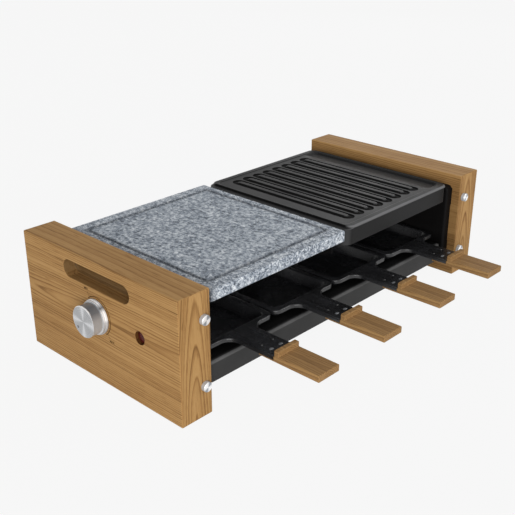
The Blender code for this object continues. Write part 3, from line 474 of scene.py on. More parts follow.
# Granite, sawn and honed: grey-blue feldspar grains with pale and dark flecks 2 to 4 mm long
def makeGranite(look):
    material, tree, shader, _, place = startMaterial("honedGranite", IOR=1.5, Specular_IOR_Level=0.16)
    drawnOut = addNode(tree, "ShaderNodeVectorMath", {0: place, 1: look["lay"]}, operation="MULTIPLY").outputs[0]
    grain = addNode(
        tree, "ShaderNodeTexNoise",
        {"Vector": drawnOut, "Scale": 1 / look["grain"], "Detail": 2.5, "Roughness": 0.7, "Distortion": 0.3},
    ).outputs[0]
    fine = addNode(
        tree, "ShaderNodeTexNoise", {"Vector": place, "Scale": 1 / look["fine"], "Detail": 1.5, "Roughness": 0.6}
    ).outputs[0]
    cells = addNode(
        tree, "ShaderNodeTexVoronoi", {"Vector": place, "Scale": 1 / look["fleck"], "Randomness": 1.0},
        feature="F1", distance="EUCLIDEAN",
    ).outputs["Color"]
    fleck = addNode(tree, "ShaderNodeSeparateColor", {0: cells}).outputs[0]
    cloud = addNode(
        tree, "ShaderNodeTexNoise", {"Vector": place, "Scale": 1 / look["cloud"], "Detail": 2.0}
    ).outputs[0]
    shares = look["shares"]
    tone = addNode(tree, "ShaderNodeMath", {0: grain, 1: shares["grain"]}, operation="MULTIPLY").outputs[0]
    for value, share in ((fine, shares["fine"]), (fleck, shares["fleck"]), (cloud, shares["cloud"])):
        tone = addNode(
            tree, "ShaderNodeMath", {0: value, 1: share, 2: tone}, operation="MULTIPLY_ADD"
        ).outputs[0]
    # outside the groove the sawn edge is rougher, so its grains stand out more
    axes = addNode(tree, "ShaderNodeSeparateXYZ", {0: place}).outputs
    fromMiddle = addNode(tree, "ShaderNodeMath", {0: axes[0], 1: look["middle"]}, operation="SUBTRACT").outputs[0]
    far = []
    for value, half in zip((fromMiddle, axes[1]), look["faceHalf"]):
        away = addNode(tree, "ShaderNodeMath", {0: value}, operation="ABSOLUTE").outputs[0]
        far.append(addNode(tree, "ShaderNodeMath", {0: away, 1: half}, operation="SUBTRACT").outputs[0])
    fromFace = addNode(tree, "ShaderNodeMath", {0: far[0], 1: far[1]}, operation="MAXIMUM").outputs[0]
    blend = look["edgeBlend"]
    outside = addNode(
        tree, "ShaderNodeMapRange", {"Value": fromFace, "From Min": -blend, "From Max": blend}
    ).outputs[0]
    soft = addNode(tree, "ShaderNodeValToRGB", {0: tone}, stops=look["soft"]).outputs[0]
    crisp = addNode(tree, "ShaderNodeMath", {0: fine, 1: look["crisp"], 2: tone}, operation="MULTIPLY_ADD").outputs[0]
    crisp = addNode(tree, "ShaderNodeMath", {0: crisp, 1: look["crisp"] / 2}, operation="SUBTRACT").outputs[0]
    harsh = addNode(tree, "ShaderNodeValToRGB", {0: crisp}, stops=look["harsh"]).outputs[0]
    colour = addNode(tree, "ShaderNodeMix", {0: outside, 6: soft, 7: harsh}, data_type="RGBA").outputs[2]
    # painted shade darkens the groove and its lips, and a painted shadow lies beside the wood
    offLine = addNode(
        tree, "ShaderNodeMath", {0: fromFace, 1: look["grooveMiddle"]}, operation="SUBTRACT"
    ).outputs[0]
    offLine = addNode(tree, "ShaderNodeMath", {0: offLine}, operation="ABSOLUTE").outputs[0]
    stoneShade = addNode(
        tree, "ShaderNodeMapRange",
        {"Value": offLine, "From Min": look["shadeFrom"], "From Max": look["shadeTo"], "To Min": look["paintedShade"],
         "To Max": 0.0},
    ).outputs[0]
    # painted shadow on the stone beside the wood
    start, full, most = look["woodShadowReach"]
    woodShadow = addNode(
        tree, "ShaderNodeMapRange", {"Value": axes[0], "From Min": start, "From Max": full, "To Max": most}
    ).outputs[0]
    stoneShade = addNode(tree, "ShaderNodeMath", {0: stoneShade, 1: woodShadow}, operation="MAXIMUM").outputs[0]
    shaded = addNode(
        tree, "ShaderNodeMix", {0: stoneShade, 6: colour, 7: linearColour(look["shadeColour"])}, data_type="RGBA"
    ).outputs[2]
    relief = addNode(
        tree, "ShaderNodeBump", {"Height": tone, "Strength": look["relief"], "Distance": 0.0003}
    ).outputs[0]
    gloss = addNode(
        tree, "ShaderNodeMapRange", {"Value": fleck, "To Min": look["gloss"][0], "To Max": look["gloss"][1]}
    ).outputs[0]
    return endMaterial(material, tree, shader, Base_Color=shaded, Roughness=gloss, Normal=relief)


graniteLook = {
    "grain": 3.5, "fine": 1.5, "fleck": 2.4, "cloud": 24.0, "crisp": 0.35, "middle": -92.85,
    "faceHalf": (85.1, 90.3), "lay": (1.0, 0.6, 1.0), "edgeBlend": 1.0, "relief": 0.5, "gloss": (0.42, 0.72),
    "shares": {"grain": 0.62, "fine": 0.22, "fleck": 0.13, "cloud": 0.14},
    # painted shade in the groove, and a painted shadow beside the wood
    "paintedShade": 0.62, "shadeColour": "#33373d", "grooveMiddle": 1.8, "shadeFrom": 1.2, "shadeTo": 4.2,
    "woodShadowReach": (-181.0, -190.0, 0.5),
    "soft": [(0.40, "#424953"), (0.49, "#757e89"), (0.55, "#949ca6"), (0.61, "#b0b7bf"), (0.70, "#d9dde1")],
    "harsh": [(0.38, "#434953"), (0.47, "#6f7883"), (0.54, "#929aa5"), (0.61, "#b4bbc3"), (0.70, "#dfe3e6")],
}
honedGranite = makeGranite(graniteLook)


# Coatings, platings and mouldings: a clouded body colour, a soft gloss and a grain that breaks it
def paintedHighlightShare(tree, look, axes, facing):
    # bends that face the user and upwards get a painted highlight, and so do the upright corners
    end = addNode(tree, "ShaderNodeMath", {0: axes[1]}, operation="SIGN").outputs[0]
    out = addNode(tree, "ShaderNodeMath", {0: facing[1], 1: end}, operation="MULTIPLY").outputs[0]
    bend = addNode(tree, "ShaderNodeMath", {0: out, 1: facing[2]}, operation="MULTIPLY").outputs[0]
    low, high = look["bend"]
    bend = addNode(tree, "ShaderNodeMapRange", {"Value": bend, "From Min": low, "From Max": high}).outputs[0]
    corner = addNode(tree, "ShaderNodeMath", {0: out, 1: facing[0]}, operation="MULTIPLY").outputs[0]
    corner = addNode(tree, "ShaderNodeMath", {0: corner}, operation="ABSOLUTE").outputs[0]
    low, high, most = look["corner"]
    corner = addNode(
        tree, "ShaderNodeMapRange", {"Value": corner, "From Min": low, "From Max": high, "To Max": most}
    ).outputs[0]
    return addNode(tree, "ShaderNodeMath", {0: bend, 1: corner}, operation="MAXIMUM").outputs[0]


def paintedShadeShare(tree, paintedShade, axes, facing):
    # painted shade darkens what lies between two heights, inside a width and a depth
    away = addNode(tree, "ShaderNodeMath", {0: axes[1]}, operation="ABSOLUTE").outputs[0]
    above, below, along, within = [
        addNode(tree, "ShaderNodeMapRange", {"Value": value, "From Min": none, "From Max": full}).outputs[0]
        for value, none, full in (
            (axes[2], paintedShade["low"] - 0.2, paintedShade["low"]), (axes[2], paintedShade["high"] + 0.15, paintedShade["high"] - 0.1),
            (axes[0], paintedShade["wide"], paintedShade["wide"] - 1.0), (away, paintedShade["deep"], paintedShade["deep"] - 3.0),
        )
    ]
    if "steepShade" in paintedShade:
        # the painted shade also covers steep sides above them
        steep = addNode(
            tree, "ShaderNodeMapRange",
            {"Value": facing[2], "From Min": 0.92, "From Max": 0.7, "To Max": paintedShade["steepShade"]},
        ).outputs[0]
        below = addNode(tree, "ShaderNodeMath", {0: below, 1: steep}, operation="MAXIMUM").outputs[0]
    shaded = above
    for share in (below, along, within):
        shaded = addNode(tree, "ShaderNodeMath", {0: shaded, 1: share}, operation="MULTIPLY").outputs[0]
    return shaded


def makeCoating(name, look):
    material, tree, shader, where, place = startMaterial(
        name, IOR=1.5, Specular_IOR_Level=look["sheen"], Metallic=look.get("metallic", 0.0)
    )
    grain = addNode(
        tree, "ShaderNodeTexNoise", {"Vector": place, "Scale": 1 / look["grain"], "Detail": 3.0, "Roughness": 0.6}
    ).outputs[0]
    cloud = addNode(
        tree, "ShaderNodeTexNoise", {"Vector": place, "Scale": 1 / look["cloud"], "Detail": 3.0}
    ).outputs[0]
    colour = addNode(
        tree, "ShaderNodeValToRGB", {0: cloud}, stops=[(0.3, look["colours"][0]), (0.7, look["colours"][1])]
    ).outputs[0]
    mixed = addNode(tree, "ShaderNodeMath", {0: grain, 1: 0.4, 2: cloud}, operation="MULTIPLY_ADD").outputs[0]
    gloss = addNode(
        tree, "ShaderNodeMapRange",
        {"Value": mixed, "From Min": 0.4, "From Max": 1.0, "To Min": look["gloss"][0], "To Max": look["gloss"][1]},
    ).outputs[0]
    relief = addNode(
        tree, "ShaderNodeBump", {"Height": grain, "Strength": look["relief"], "Distance": look.get("depth", 0.00005)}
    ).outputs[0]
    # painted highlights on bends and corners, and painted shade in hollows, where the look gives them
    if "wearAndHighlight" in look:
        axes = addNode(tree, "ShaderNodeSeparateXYZ", {0: place}).outputs
        facing = addNode(tree, "ShaderNodeSeparateXYZ", {0: where.outputs["Normal"]}).outputs
        highlighted = paintedHighlightShare(tree, look, axes, facing)
        shaded = paintedShadeShare(tree, look["paintedShade"], axes, facing)
        for share, tone in ((highlighted, look["wearAndHighlight"]), (shaded, look["paintedShade"]["colour"])):
            colour = addNode(
                tree, "ShaderNodeMix", {0: share, 6: colour, 7: linearColour(tone)}, data_type="RGBA"
            ).outputs[2]
        gloss = addNode(
            tree, "ShaderNodeMix", {0: shaded, 2: gloss, 3: look["paintedShade"]["roughness"]}, data_type="FLOAT"
        ).outputs[0]
    return endMaterial(material, tree, shader, Base_Color=colour, Roughness=gloss, Normal=relief)


# non-stick coat on a sand-cast plate: dark grey with a fine cast grain, a painted highlight on its front bend and
# corners, and painted shade in the rib pits and on steep sides
castCoat = makeCoating("nonStickCast", {
    "grain": 0.7, "cloud": 45.0, "colours": ("#151515", "#1b1b1c"), "gloss": (0.4, 0.54), "sheen": 0.13,
    "relief": 0.45, "depth": 0.00007, "wearAndHighlight": "#666667", "bend": (0.06, 0.34), "corner": (0.1, 0.45, 0.22),
    "paintedShade": {"low": 118.3, "high": 119.8, "wide": 176.0, "deep": 101.0, "steepShade": 0.9, "colour": "#030303",
             "roughness": 0.85},
})
# non-stick coat on pressed steel: nearly black and a little glossier
panCoat = makeCoating("nonStickPressed", {
    "grain": 0.5, "cloud": 25.0, "colours": ("#1a1a1b", "#262628"), "gloss": (0.2, 0.32), "sheen": 0.55,
    "relief": 0.25, "depth": 0.00003,
})
# black stove enamel on the end plates and strips
stoveBlack = makeCoating("stoveBlack", {
    "grain": 0.9, "cloud": 60.0, "colours": ("#0c0b0b", "#131212"), "gloss": (0.45, 0.6), "sheen": 0.06, "relief": 0.3,
})
# charcoal powder coat on the base tray, with its orange peel, a painted highlight on its top bend and painted shade on
# its top under the pans
powderCharcoal = makeCoating("powderCharcoal", {
    "grain": 1.3, "cloud": 50.0, "colours": ("#313131", "#3a3a3a"), "gloss": (0.4, 0.52), "sheen": 0.12, "relief": 0.35,
    "wearAndHighlight": "#5c5c5c", "bend": (0.06, 0.34), "corner": (0.1, 0.45, 0.1),
    "paintedShade": {"low": 37.0, "high": 42.5, "wide": 400.0, "deep": 101.5, "colour": "#030303", "roughness": 0.85},
})
# moulded thermoplastics: dull black, with the mould's spark grain
mouldedBlack = makeCoating("mouldedPhenolic", {
    "grain": 0.6, "cloud": 20.0, "colours": ("#18181a", "#222224"), "gloss": (0.5, 0.62), "sheen": 0.4, "relief": 0.4,
})
mouldedNylon = makeCoating("mouldedNylon", {
    "grain": 0.5, "cloud": 12.0, "colours": ("#121213", "#19191a"), "gloss": (0.42, 0.52), "sheen": 0.45, "relief": 0.3,
})
# bright zinc on the rods, with its faint blue cast, and plain drawn steel on the shaft
zincSteel = makeCoating("zincPlatedSteel", {
    "grain": 0.8, "cloud": 14.0, "colours": ("#8c8f93", "#9da1a6"), "gloss": (0.28, 0.42), "sheen": 0.5,
    "metallic": 1.0, "relief": 0.15,
})
drawnSteel = makeCoating("drawnSteel", {
    "grain": 0.5, "cloud": 9.0, "colours": ("#a4a6a9", "#b3b5b7"), "gloss": (0.25, 0.36), "sheen": 0.5,
    "metallic": 1.0, "relief": 0.12,
})
# heated stainless sheath: dull grey with brown and blue clouds
heatedSheath = makeCoating("heatTintedSheath", {
    "grain": 1.0, "cloud": 18.0, "colours": ("#5c5550", "#666c74"), "gloss": (0.38, 0.55), "sheen": 0.5,
    "metallic": 0.9, "relief": 0.25,
})


# Turned metal: fine tool rings round an axis along X, and painted reflections: greys by angle that fan out from the
# middle of the face, and others round the waist and flange
def lipHighlightShare(tree, look, angle, radius, axes):
    # the thin lip carries a painted highlight over its top third
    full, none = look["lipTop"]
    fromTop = addNode(tree, "ShaderNodeMath", {0: angle}, operation="ABSOLUTE").outputs[0]
    atTop = addNode(
        tree, "ShaderNodeMapRange", {"Value": fromTop, "From Min": full, "From Max": none, "To Min": 1.0, "To Max": 0.0}
    ).outputs[0]
    onLip = addNode(tree, "ShaderNodeMath", {0: radius, 1: look["lip"]}, operation="GREATER_THAN").outputs[0]
    onLip = addNode(tree, "ShaderNodeMath", {0: onLip, 1: atTop}, operation="MULTIPLY").outputs[0]
    forward = addNode(
        tree, "ShaderNodeMath", {0: axes[0], 1: look["front"] + look["lipDepth"]}, operation="LESS_THAN"
    ).outputs[0]
    return addNode(tree, "ShaderNodeMath", {0: onLip, 1: forward}, operation="MULTIPLY").outputs[0]


def makeTurnedMetal(name, look):
    material, tree, shader, _, place = startMaterial(name, Anisotropic=look["brush"])
    tangent = addNode(tree, "ShaderNodeTangent", direction_type="RADIAL", axis=look["axis"]).outputs[0]
    centred = addNode(tree, "ShaderNodeMapping", {"Vector": place, "Location": look["centre"]}).outputs[0]
    across = addNode(tree, "ShaderNodeVectorMath", {0: centred, 1: look["across"]}, operation="MULTIPLY").outputs[0]
    radius = addNode(tree, "ShaderNodeVectorMath", {0: across}, operation="LENGTH").outputs["Value"]
    rings = addNode(
        tree, "ShaderNodeTexNoise", {"W": radius, "Scale": 1 / look["ringWidth"], "Detail": 2.0},
        noise_dimensions="1D",
    ).outputs[0]
    axes = addNode(tree, "ShaderNodeSeparateXYZ", {0: centred}).outputs
    # clockwise from the top as the face is seen
    right = addNode(tree, "ShaderNodeMath", {0: axes[1], 1: -1.0}, operation="MULTIPLY").outputs[0]
    angle = addNode(tree, "ShaderNodeMath", {0: right, 1: axes[2]}, operation="ARCTAN2").outputs[0]
    turn = addNode(tree, "ShaderNodeMath", {0: angle, 1: 0.5 / math.pi, 2: 0.5}, operation="MULTIPLY_ADD").outputs[0]
    paintedFan = addNode(tree, "ShaderNodeMath", {0: angle, 1: 4.0}, operation="MULTIPLY").outputs[0]
    paintedFan = addNode(tree, "ShaderNodeMath", {0: paintedFan}, operation="COSINE").outputs[0]
    paintedFan = addNode(tree, "ShaderNodeMapRange", {"Value": paintedFan, "From Min": -1.0, "From Max": 1.0}).outputs[0]
    # painted reflections: greys by angle on the face, the waist and the flange
    face, waist, flange = [
        addNode(tree, "ShaderNodeValToRGB", {0: by}, stops=look[part]).outputs[0]
        for by, part in ((paintedFan, "face"), (turn, "waist"), (turn, "flange"))
    ]
    onStep = addNode(tree, "ShaderNodeMath", {0: axes[0], 1: look["step"]}, operation="GREATER_THAN").outputs[0]
    side = addNode(tree, "ShaderNodeMix", {0: onStep, 6: waist, 7: flange}, data_type="RGBA").outputs[2]
    onFace = addNode(tree, "ShaderNodeMath", {0: axes[0], 1: look["front"]}, operation="LESS_THAN").outputs[0]
    colour = addNode(tree, "ShaderNodeMix", {0: onFace, 6: side, 7: face}, data_type="RGBA").outputs[2]
    onLip = lipHighlightShare(tree, look, angle, radius, axes)
    colour = addNode(
        tree, "ShaderNodeMix", {0: onLip, 6: colour, 7: linearColour(look["lipHighlightColour"])}, data_type="RGBA"
    ).outputs[2]
    # painted shade darkens the dimple
    toDimple = addNode(
        tree, "ShaderNodeVectorMath", {0: place, 1: look["dimple"]}, operation="DISTANCE"
    ).outputs["Value"]
    shade = addNode(
        tree, "ShaderNodeMapRange",
        {"Value": toDimple, "From Min": look["dimpleReach"][0], "From Max": look["dimpleReach"][1],
         "To Min": look["dimpleShade"], "To Max": 1.0},
    ).outputs[0]
    tone = addNode(
        tree, "ShaderNodeMapRange",
        {"Value": rings, "From Min": 0.3, "From Max": 0.7, "To Min": look["tone"][0], "To Max": look["tone"][1]},
    ).outputs[0]
    tone = addNode(tree, "ShaderNodeMath", {0: tone, 1: shade}, operation="MULTIPLY").outputs[0]
    colour = addNode(tree, "ShaderNodeVectorMath", {0: colour, "Scale": tone}, operation="SCALE").outputs[0]
    metal = addNode(
        tree, "ShaderNodeMapRange", {"Value": onFace, "To Min": look["sideMetal"], "To Max": 1.0}
    ).outputs[0]
    gloss = addNode(
        tree, "ShaderNodeMapRange",
        {"Value": rings, "From Min": 0.25, "From Max": 0.75, "To Min": look["gloss"][0], "To Max": look["gloss"][1]},
    ).outputs[0]
    relief = addNode(
        tree, "ShaderNodeBump", {"Height": rings, "Strength": look["relief"], "Distance": 0.00002}
    ).outputs[0]
    return endMaterial(
        material, tree, shader, Base_Color=colour, Metallic=metal, Roughness=gloss, Normal=relief, Tangent=tangent
    )


knobHeight = 73.5
turnedAluminium = makeTurnedMetal("turnedAluminium", {
    "axis": "X", "centre": (0, 0, -knobHeight), "across": (0, 1, 1), "brush": 0.75, "ringWidth": 0.35,
    "tone": (0.88, 1.1), "gloss": (0.24, 0.36), "relief": 0.25, "step": -244.9, "front": -256.3,
    # a painted highlight on the lip, and sides nearly not metallic so their painted greys stand for reflections
    "lip": 15.75, "lipDepth": 1.4, "lipTop": (0.6, 1.0), "lipHighlightColour": "#f6f6f6", "sideMetal": 0.1,
    # painted shade in the dimple
    "dimple": (-256.5, 8.77, 65.6), "dimpleReach": (1.2, 1.6), "dimpleShade": 0.32,
    # painted reflections, as greys by angle from six o'clock over nine, twelve and three: face, waist and flange
    "face": [(0.0, "#acadaf"), (0.6, "#b1b2b3"), (0.86, "#c3c4c6"), (1.0, "#d6d7d9")],
    "waist": [(0.0, "#a6a4a2"), (0.25, "#b2b2b2"), (0.47, "#a0a2a4"), (0.55, "#74767a"), (0.63, "#76787b"),
              (0.7, "#a3a2a2"), (0.8, "#b4b4b4"), (0.88, "#c4c4c5"), (1.0, "#a6a4a2")],
    "flange": [(0.0, "#a3a2a2"), (0.3, "#b5b6b8"), (0.47, "#e6e7e9"), (0.56, "#dfe1e4"), (0.61, "#75777a"),
               (0.65, "#f4f4f4"), (0.72, "#f6f6f6"), (0.75, "#c4c4c5"), (0.86, "#abaaaa"), (1.0, "#a3a2a2")],
})


# polished stainless caps: an attribute gives each point's place on its own cap, for a fan of greys by angle that is a
# painted reflection of its polishing
def makePolishedCaps():
    material, tree, shader, where, place = startMaterial("polishedStainless", Metallic=1.0)
    onCap = addNode(tree, "ShaderNodeAttribute", attribute_name="onCap").outputs["Vector"]
    axes = addNode(tree, "ShaderNodeSeparateXYZ", {0: onCap}).outputs
    angle = addNode(tree, "ShaderNodeMath", {0: axes[0], 1: axes[2]}, operation="ARCTAN2").outputs[0]
    paintedFan = addNode(tree, "ShaderNodeMath", {0: angle, 1: 2.0, 2: -1.3}, operation="MULTIPLY_ADD").outputs[0]
    paintedFan = addNode(tree, "ShaderNodeMath", {0: paintedFan}, operation="COSINE").outputs[0]
    colour = addNode(
        tree, "ShaderNodeValToRGB",
        {0: addNode(tree, "ShaderNodeMapRange", {"Value": paintedFan, "From Min": -1.0, "From Max": 1.0}).outputs[0]},
        stops=[(0.0, "#fbfbfb"), (0.6, "#ececed"), (0.84, "#a9acb1"), (1.0, "#979ba1")],
    ).outputs[0]
    # the turned side is duller than the polished face: a flat painted grey that stands in for its reflection, and less
    # metallic
    facing = addNode(tree, "ShaderNodeSeparateXYZ", {0: where.outputs["Normal"]}).outputs["Y"]
    facing = addNode(tree, "ShaderNodeMath", {0: facing}, operation="ABSOLUTE").outputs[0]
    onFace = addNode(tree, "ShaderNodeMapRange", {"Value": facing, "From Min": 0.35, "From Max": 0.75}).outputs[0]
    colour = addNode(
        tree, "ShaderNodeMix", {0: onFace, 6: linearColour("#b6b8bb"), 7: colour}, data_type="RGBA"
    ).outputs[2]
    metal = addNode(tree, "ShaderNodeMapRange", {"Value": onFace, "To Min": 0.15, "To Max": 0.65}).outputs[0]
    wearAndHighlight = addNode(tree, "ShaderNodeTexNoise", {"Vector": place, "Scale": 0.8, "Detail": 2.0}).outputs[0]
    gloss = addNode(tree, "ShaderNodeMapRange", {"Value": wearAndHighlight, "To Min": 0.26, "To Max": 0.42}).outputs[0]
    return endMaterial(material, tree, shader, Base_Color=colour, Metallic=metal, Roughness=gloss)


polishedStainless = makePolishedCaps()


# Lamp lens: deep red acrylic, with a fine moulded pattern that scatters the lamp
def makeLens():
    material, tree, shader, _, place = startMaterial("redAcrylic", IOR=1.49, Specular_IOR_Level=0.16)
    cells = addNode(tree, "ShaderNodeTexVoronoi", {"Vector": place, "Scale": 0.9}, feature="F1").outputs["Distance"]
    colour = addNode(
        tree, "ShaderNodeValToRGB", {0: cells}, stops=[(0.1, "#6a231b"), (0.55, "#3d110e"), (1.0, "#1e0706")]
    ).outputs[0]
    gloss = addNode(tree, "ShaderNodeMapRange", {"Value": cells, "To Min": 0.25, "To Max": 0.45}).outputs[0]
    relief = addNode(tree, "ShaderNodeBump", {"Height": cells, "Strength": 0.5, "Distance": 0.0002}).outputs[0]
    return endMaterial(material, tree, shader, Base_Color=colour, Roughness=gloss, Normal=relief)


redAcrylic = makeLens()


# burnt marks: wood charred by the engraving laser, matt and dark brown
def makeCharred():
    material, tree, shader, _, place = startMaterial("charredWood", Specular_IOR_Level=0.15, Roughness=0.8)
    char = addNode(tree, "ShaderNodeTexNoise", {"Vector": place, "Scale": 2.0, "Detail": 2.0}).outputs[0]
    colour = addNode(
        tree, "ShaderNodeValToRGB", {0: char}, stops=[(0.3, "#3e2812"), (0.7, "#543818")]
    ).outputs[0]
    return endMaterial(material, tree, shader, Base_Color=colour)


charredWood = makeCharred()
print("materials ready")


# Side panels
panels = {
    "outer": {-1: -239.5, 1: 256.5}, "inner": {-1: -201.5, 1: 218.5}, "halfDepth": 118.0, "height": 130.0,
    "edge": 1.2, "recessHalf": 50.75, "recessLow": 101.35, "recessHigh": 120.05, "recessSink": 15.5,
    "recessMouth": 0.9, "recessFoot": 3.5, "lensMiddle": -63.4, "lensRadius": 7.0, "lensSink": 14.2,
    "pocket": (76.0, 46.0, 96.0, 24.0), "slotHalf": (1.0, 11.0), "slotHeights": (33.0, 102.0), "slotAt": 106.4,
    "slotSink": 16.0, "glandHeight": 60.0, "glandX": -215.5, "glandHole": 5.3, "bushing": 5.0,
}


def sideways(u, v, x):
    return (x, u, v)


def recessCutter(side):
    outer = panels["outer"][side]
    middle = (panels["recessLow"] + panels["recessHigh"]) / 2
    half = (panels["recessHigh"] - panels["recessLow"]) / 2
    rows = [(-panels["recessMouth"], -3.0)]
    rows += [(-panels["recessMouth"] * (1 - out), panels["recessMouth"] * down) for out, down in quarter(4)]
    foot = panels["recessFoot"]
    rows += [
        (foot * (1 - math.cos(math.pi / 2 * i / 6)), panels["recessSink"] - foot + foot * math.sin(math.pi / 2 * i / 6))
        for i in range(7)
    ]
    rings = []
    for inset, sink in rows:
        ring = roundRing(
            inset - panels["recessHalf"], panels["recessHalf"] - inset,
            middle - half + inset, middle + half - inset, half - inset, 12,
        )
        rings.append([sideways(u, v, outer - side * sink) for u, v in ring])
    return loftMesh("recess", rings)


def roundHole(y, radius, low, high):
    turn = Matrix.Translation((0, y, knobHeight)) @ Matrix.Rotation(math.pi / 2, 4, "Y")
    return latheMesh("hole", [(0, low), (radius, low), (radius, high), (0, high)], 48, turn)


def sidePanel(name, side):
    outer, inner = panels["outer"][side], panels["inner"][side]
    low, high = min(outer, inner), max(outer, inner)
    half, height = panels["halfDepth"], panels["height"]
    body = looseObject(name, boxMesh(name, (low, -half, 0), (high, half, height)))
    roundEdges(body, panels["edge"], 4)
    cutters = [recessCutter(side)]
    reach = inner + side * panels["slotSink"]
    for end in (-1, 1):
        for at in panels["slotHeights"]:
            near, middle = inner - side * 2, end * panels["slotAt"]
            cutters.append(boxMesh(
                "slot", (min(near, reach), middle - panels["slotHalf"][0], at - panels["slotHalf"][1]),
                (max(near, reach), middle + panels["slotHalf"][0], at + panels["slotHalf"][1]),
            ))
    if side < 0:
        half, low, high, sink = panels["pocket"]
        pocket = roundRing(-half, half, low, high, 6, 6)
        cutters.append(loftMesh("pocket", [
            [sideways(u, v, inner + 2) for u, v in pocket], [sideways(u, v, inner - sink) for u, v in pocket],
        ]))
        for y, radius in ((panels["lensMiddle"], panels["lensRadius"]), (0, panels["bushing"])):
            cutters.append(roundHole(y, radius, outer - 2, outer + panels["lensSink"]))
        place = Matrix.Translation((panels["glandX"], 70, panels["glandHeight"]))
        bore = place @ Matrix.Rotation(-math.pi / 2, 4, "X")
        hole = panels["glandHole"]
        cutters.append(latheMesh("bore", [(0, 0), (hole, 0), (hole, 60), (0, 60)], 32, bore))
    cutAway(body, *cutters)
    slot = "left_panel" if side < 0 else "right_panel"
    return finishPiece(body, oiledOak, "housing", [slot], angle=30)


sidePanel("leftSidePanel", -1)
sidePanel("rightSidePanel", 1)
print("side panels ready")


# Marks round the knob: a thin burnt arc with its two ends named
marks = {
    "radius": 20.0, "from": -40.0, "to": 143.0, "width": 0.9, "outward": 0.04, "tick": 5.0, "tickWidth": 0.5,
    "letters": 3.2, "bold": 0.12, "words": 29.2, "wordFrom": -32.0, "wordTo": 136.0,
}


def dialPoint(radius, degrees):
    angle = math.radians(degrees)
    return (panels["outer"][-1] - marks["outward"], -radius * math.sin(angle), knobHeight + radius * math.cos(angle))


def dialArc():
    work = bmesh.new()
    steps = 90
    inner, outer = [], []
    for i in range(steps + 1):
        degrees = marks["from"] + (marks["to"] - marks["from"]) * i / steps
        inner.append(work.verts.new(dialPoint(marks["radius"] - marks["width"] / 2, degrees)))
        outer.append(work.verts.new(dialPoint(marks["radius"] + marks["width"] / 2, degrees)))
    for i in range(steps):
        work.faces.new((inner[i], inner[i + 1], outer[i + 1], outer[i]))
    # a short tick from the arc towards each word
    half = math.degrees(marks["tickWidth"] / 2 / marks["words"])
    low, high = marks["radius"] + marks["width"], marks["radius"] + marks["width"] + marks["tick"]
    for middle in (marks["wordFrom"], marks["wordTo"]):
        corners = ((low, -half), (low, half), (high, half), (high, -half))
        work.faces.new([work.verts.new(dialPoint(radius, middle + turn)) for radius, turn in corners])
    for face in work.faces:
        face.normal_update()
        if face.normal.x > 0:
            face.normal_flip()
    return looseObject("dialArc", writeMesh(work, "dialArc"))


def dialWord(word, degrees):
    text = bpy.data.curves.new(word, "FONT")
    text.body = word
    text.size = marks["letters"] / 1000
    text.offset = marks["bold"] / 1000
    text.align_x = "CENTER"
    text.align_y = "CENTER"
    made = fromCurve("dial" + word.title(), text)
    place = Vector(dialPoint(marks["words"], degrees)) / 1000
    axes = Matrix(((0, 0, -1), (-1, 0, 0), (0, 1, 0))).to_4x4()
    made.data.transform(Matrix.Translation(place) @ axes)
    return made


for piece in (dialArc(), dialWord("MIN", marks["wordFrom"]), dialWord("MAX", marks["wordTo"])):
    finishPiece(piece, charredWood, "housing")


# Cap screws: a flat polished disc with a small chamfer, set in a grid at both ends of both panels
caps = {
    "radius": 5.1, "height": 4.5, "chamfer": 0.9, "socket": 1.0, "between": 437.4, "middle": 8.5,
    "heights": panels["slotHeights"], "face": panels["halfDepth"],
}


def capProfile():
    radius, height, chamfer = caps["radius"], caps["height"], caps["chamfer"]
    rounded = [(radius - chamfer * (1 - out), height - chamfer * down) for out, down in quarter(4)]
    return [
        (0, height - 0.2), (caps["socket"], height - 0.08), *rounded, (radius, 0.25), (radius - 0.25, 0), (0, 0),
    ]


def capTree():
    tree, given = startNodes("capScrewGrid", [
        ("Cap", "Object"), ("Between Panels", "Float"), ("Between Heights", "Float"), ("Middle", "Vector"),
        ("Face", "Float"), ("Material", "Material"),
    ])
    cap = addNode(tree, "GeometryNodeObjectInfo", {"Object": given["Cap"]}).outputs["Geometry"]
    own = addNode(tree, "GeometryNodeInputPosition").outputs[0]
    cap = addNode(
        tree, "GeometryNodeStoreNamedAttribute", {"Geometry": cap, "Name": "onCap", "Value": own},
        data_type="FLOAT_VECTOR", domain="POINT",
    ).outputs[0]
    grid = addNode(tree, "GeometryNodeMeshGrid", {
        "Size X": given["Between Panels"], "Size Y": given["Between Heights"], "Vertices X": 2, "Vertices Y": 2,
    }).outputs["Mesh"]
    upright = addNode(
        tree, "GeometryNodeTransform", {"Geometry": grid, "Rotation": (math.pi / 2, 0, 0)}
    ).outputs[0]
    sides = []
    for end in (-1, 1):
        face = addNode(tree, "ShaderNodeMath", {0: given["Face"], 1: float(end)}, operation="MULTIPLY").outputs[0]
        shift = addNode(tree, "ShaderNodeCombineXYZ", {"Y": face}).outputs[0]
        place = addNode(tree, "ShaderNodeVectorMath", {0: given["Middle"], 1: shift}, operation="ADD").outputs[0]
        points = addNode(
            tree, "GeometryNodeTransform", {"Geometry": upright, "Translation": place}
        ).outputs[0]
        turn = (0, 0, 0) if end < 0 else (0, 0, math.pi)
        sides.append(addNode(
            tree, "GeometryNodeInstanceOnPoints", {"Points": points, "Instance": cap, "Rotation": turn}
        ).outputs[0])
    return endNodes(tree, sides, given["Material"])


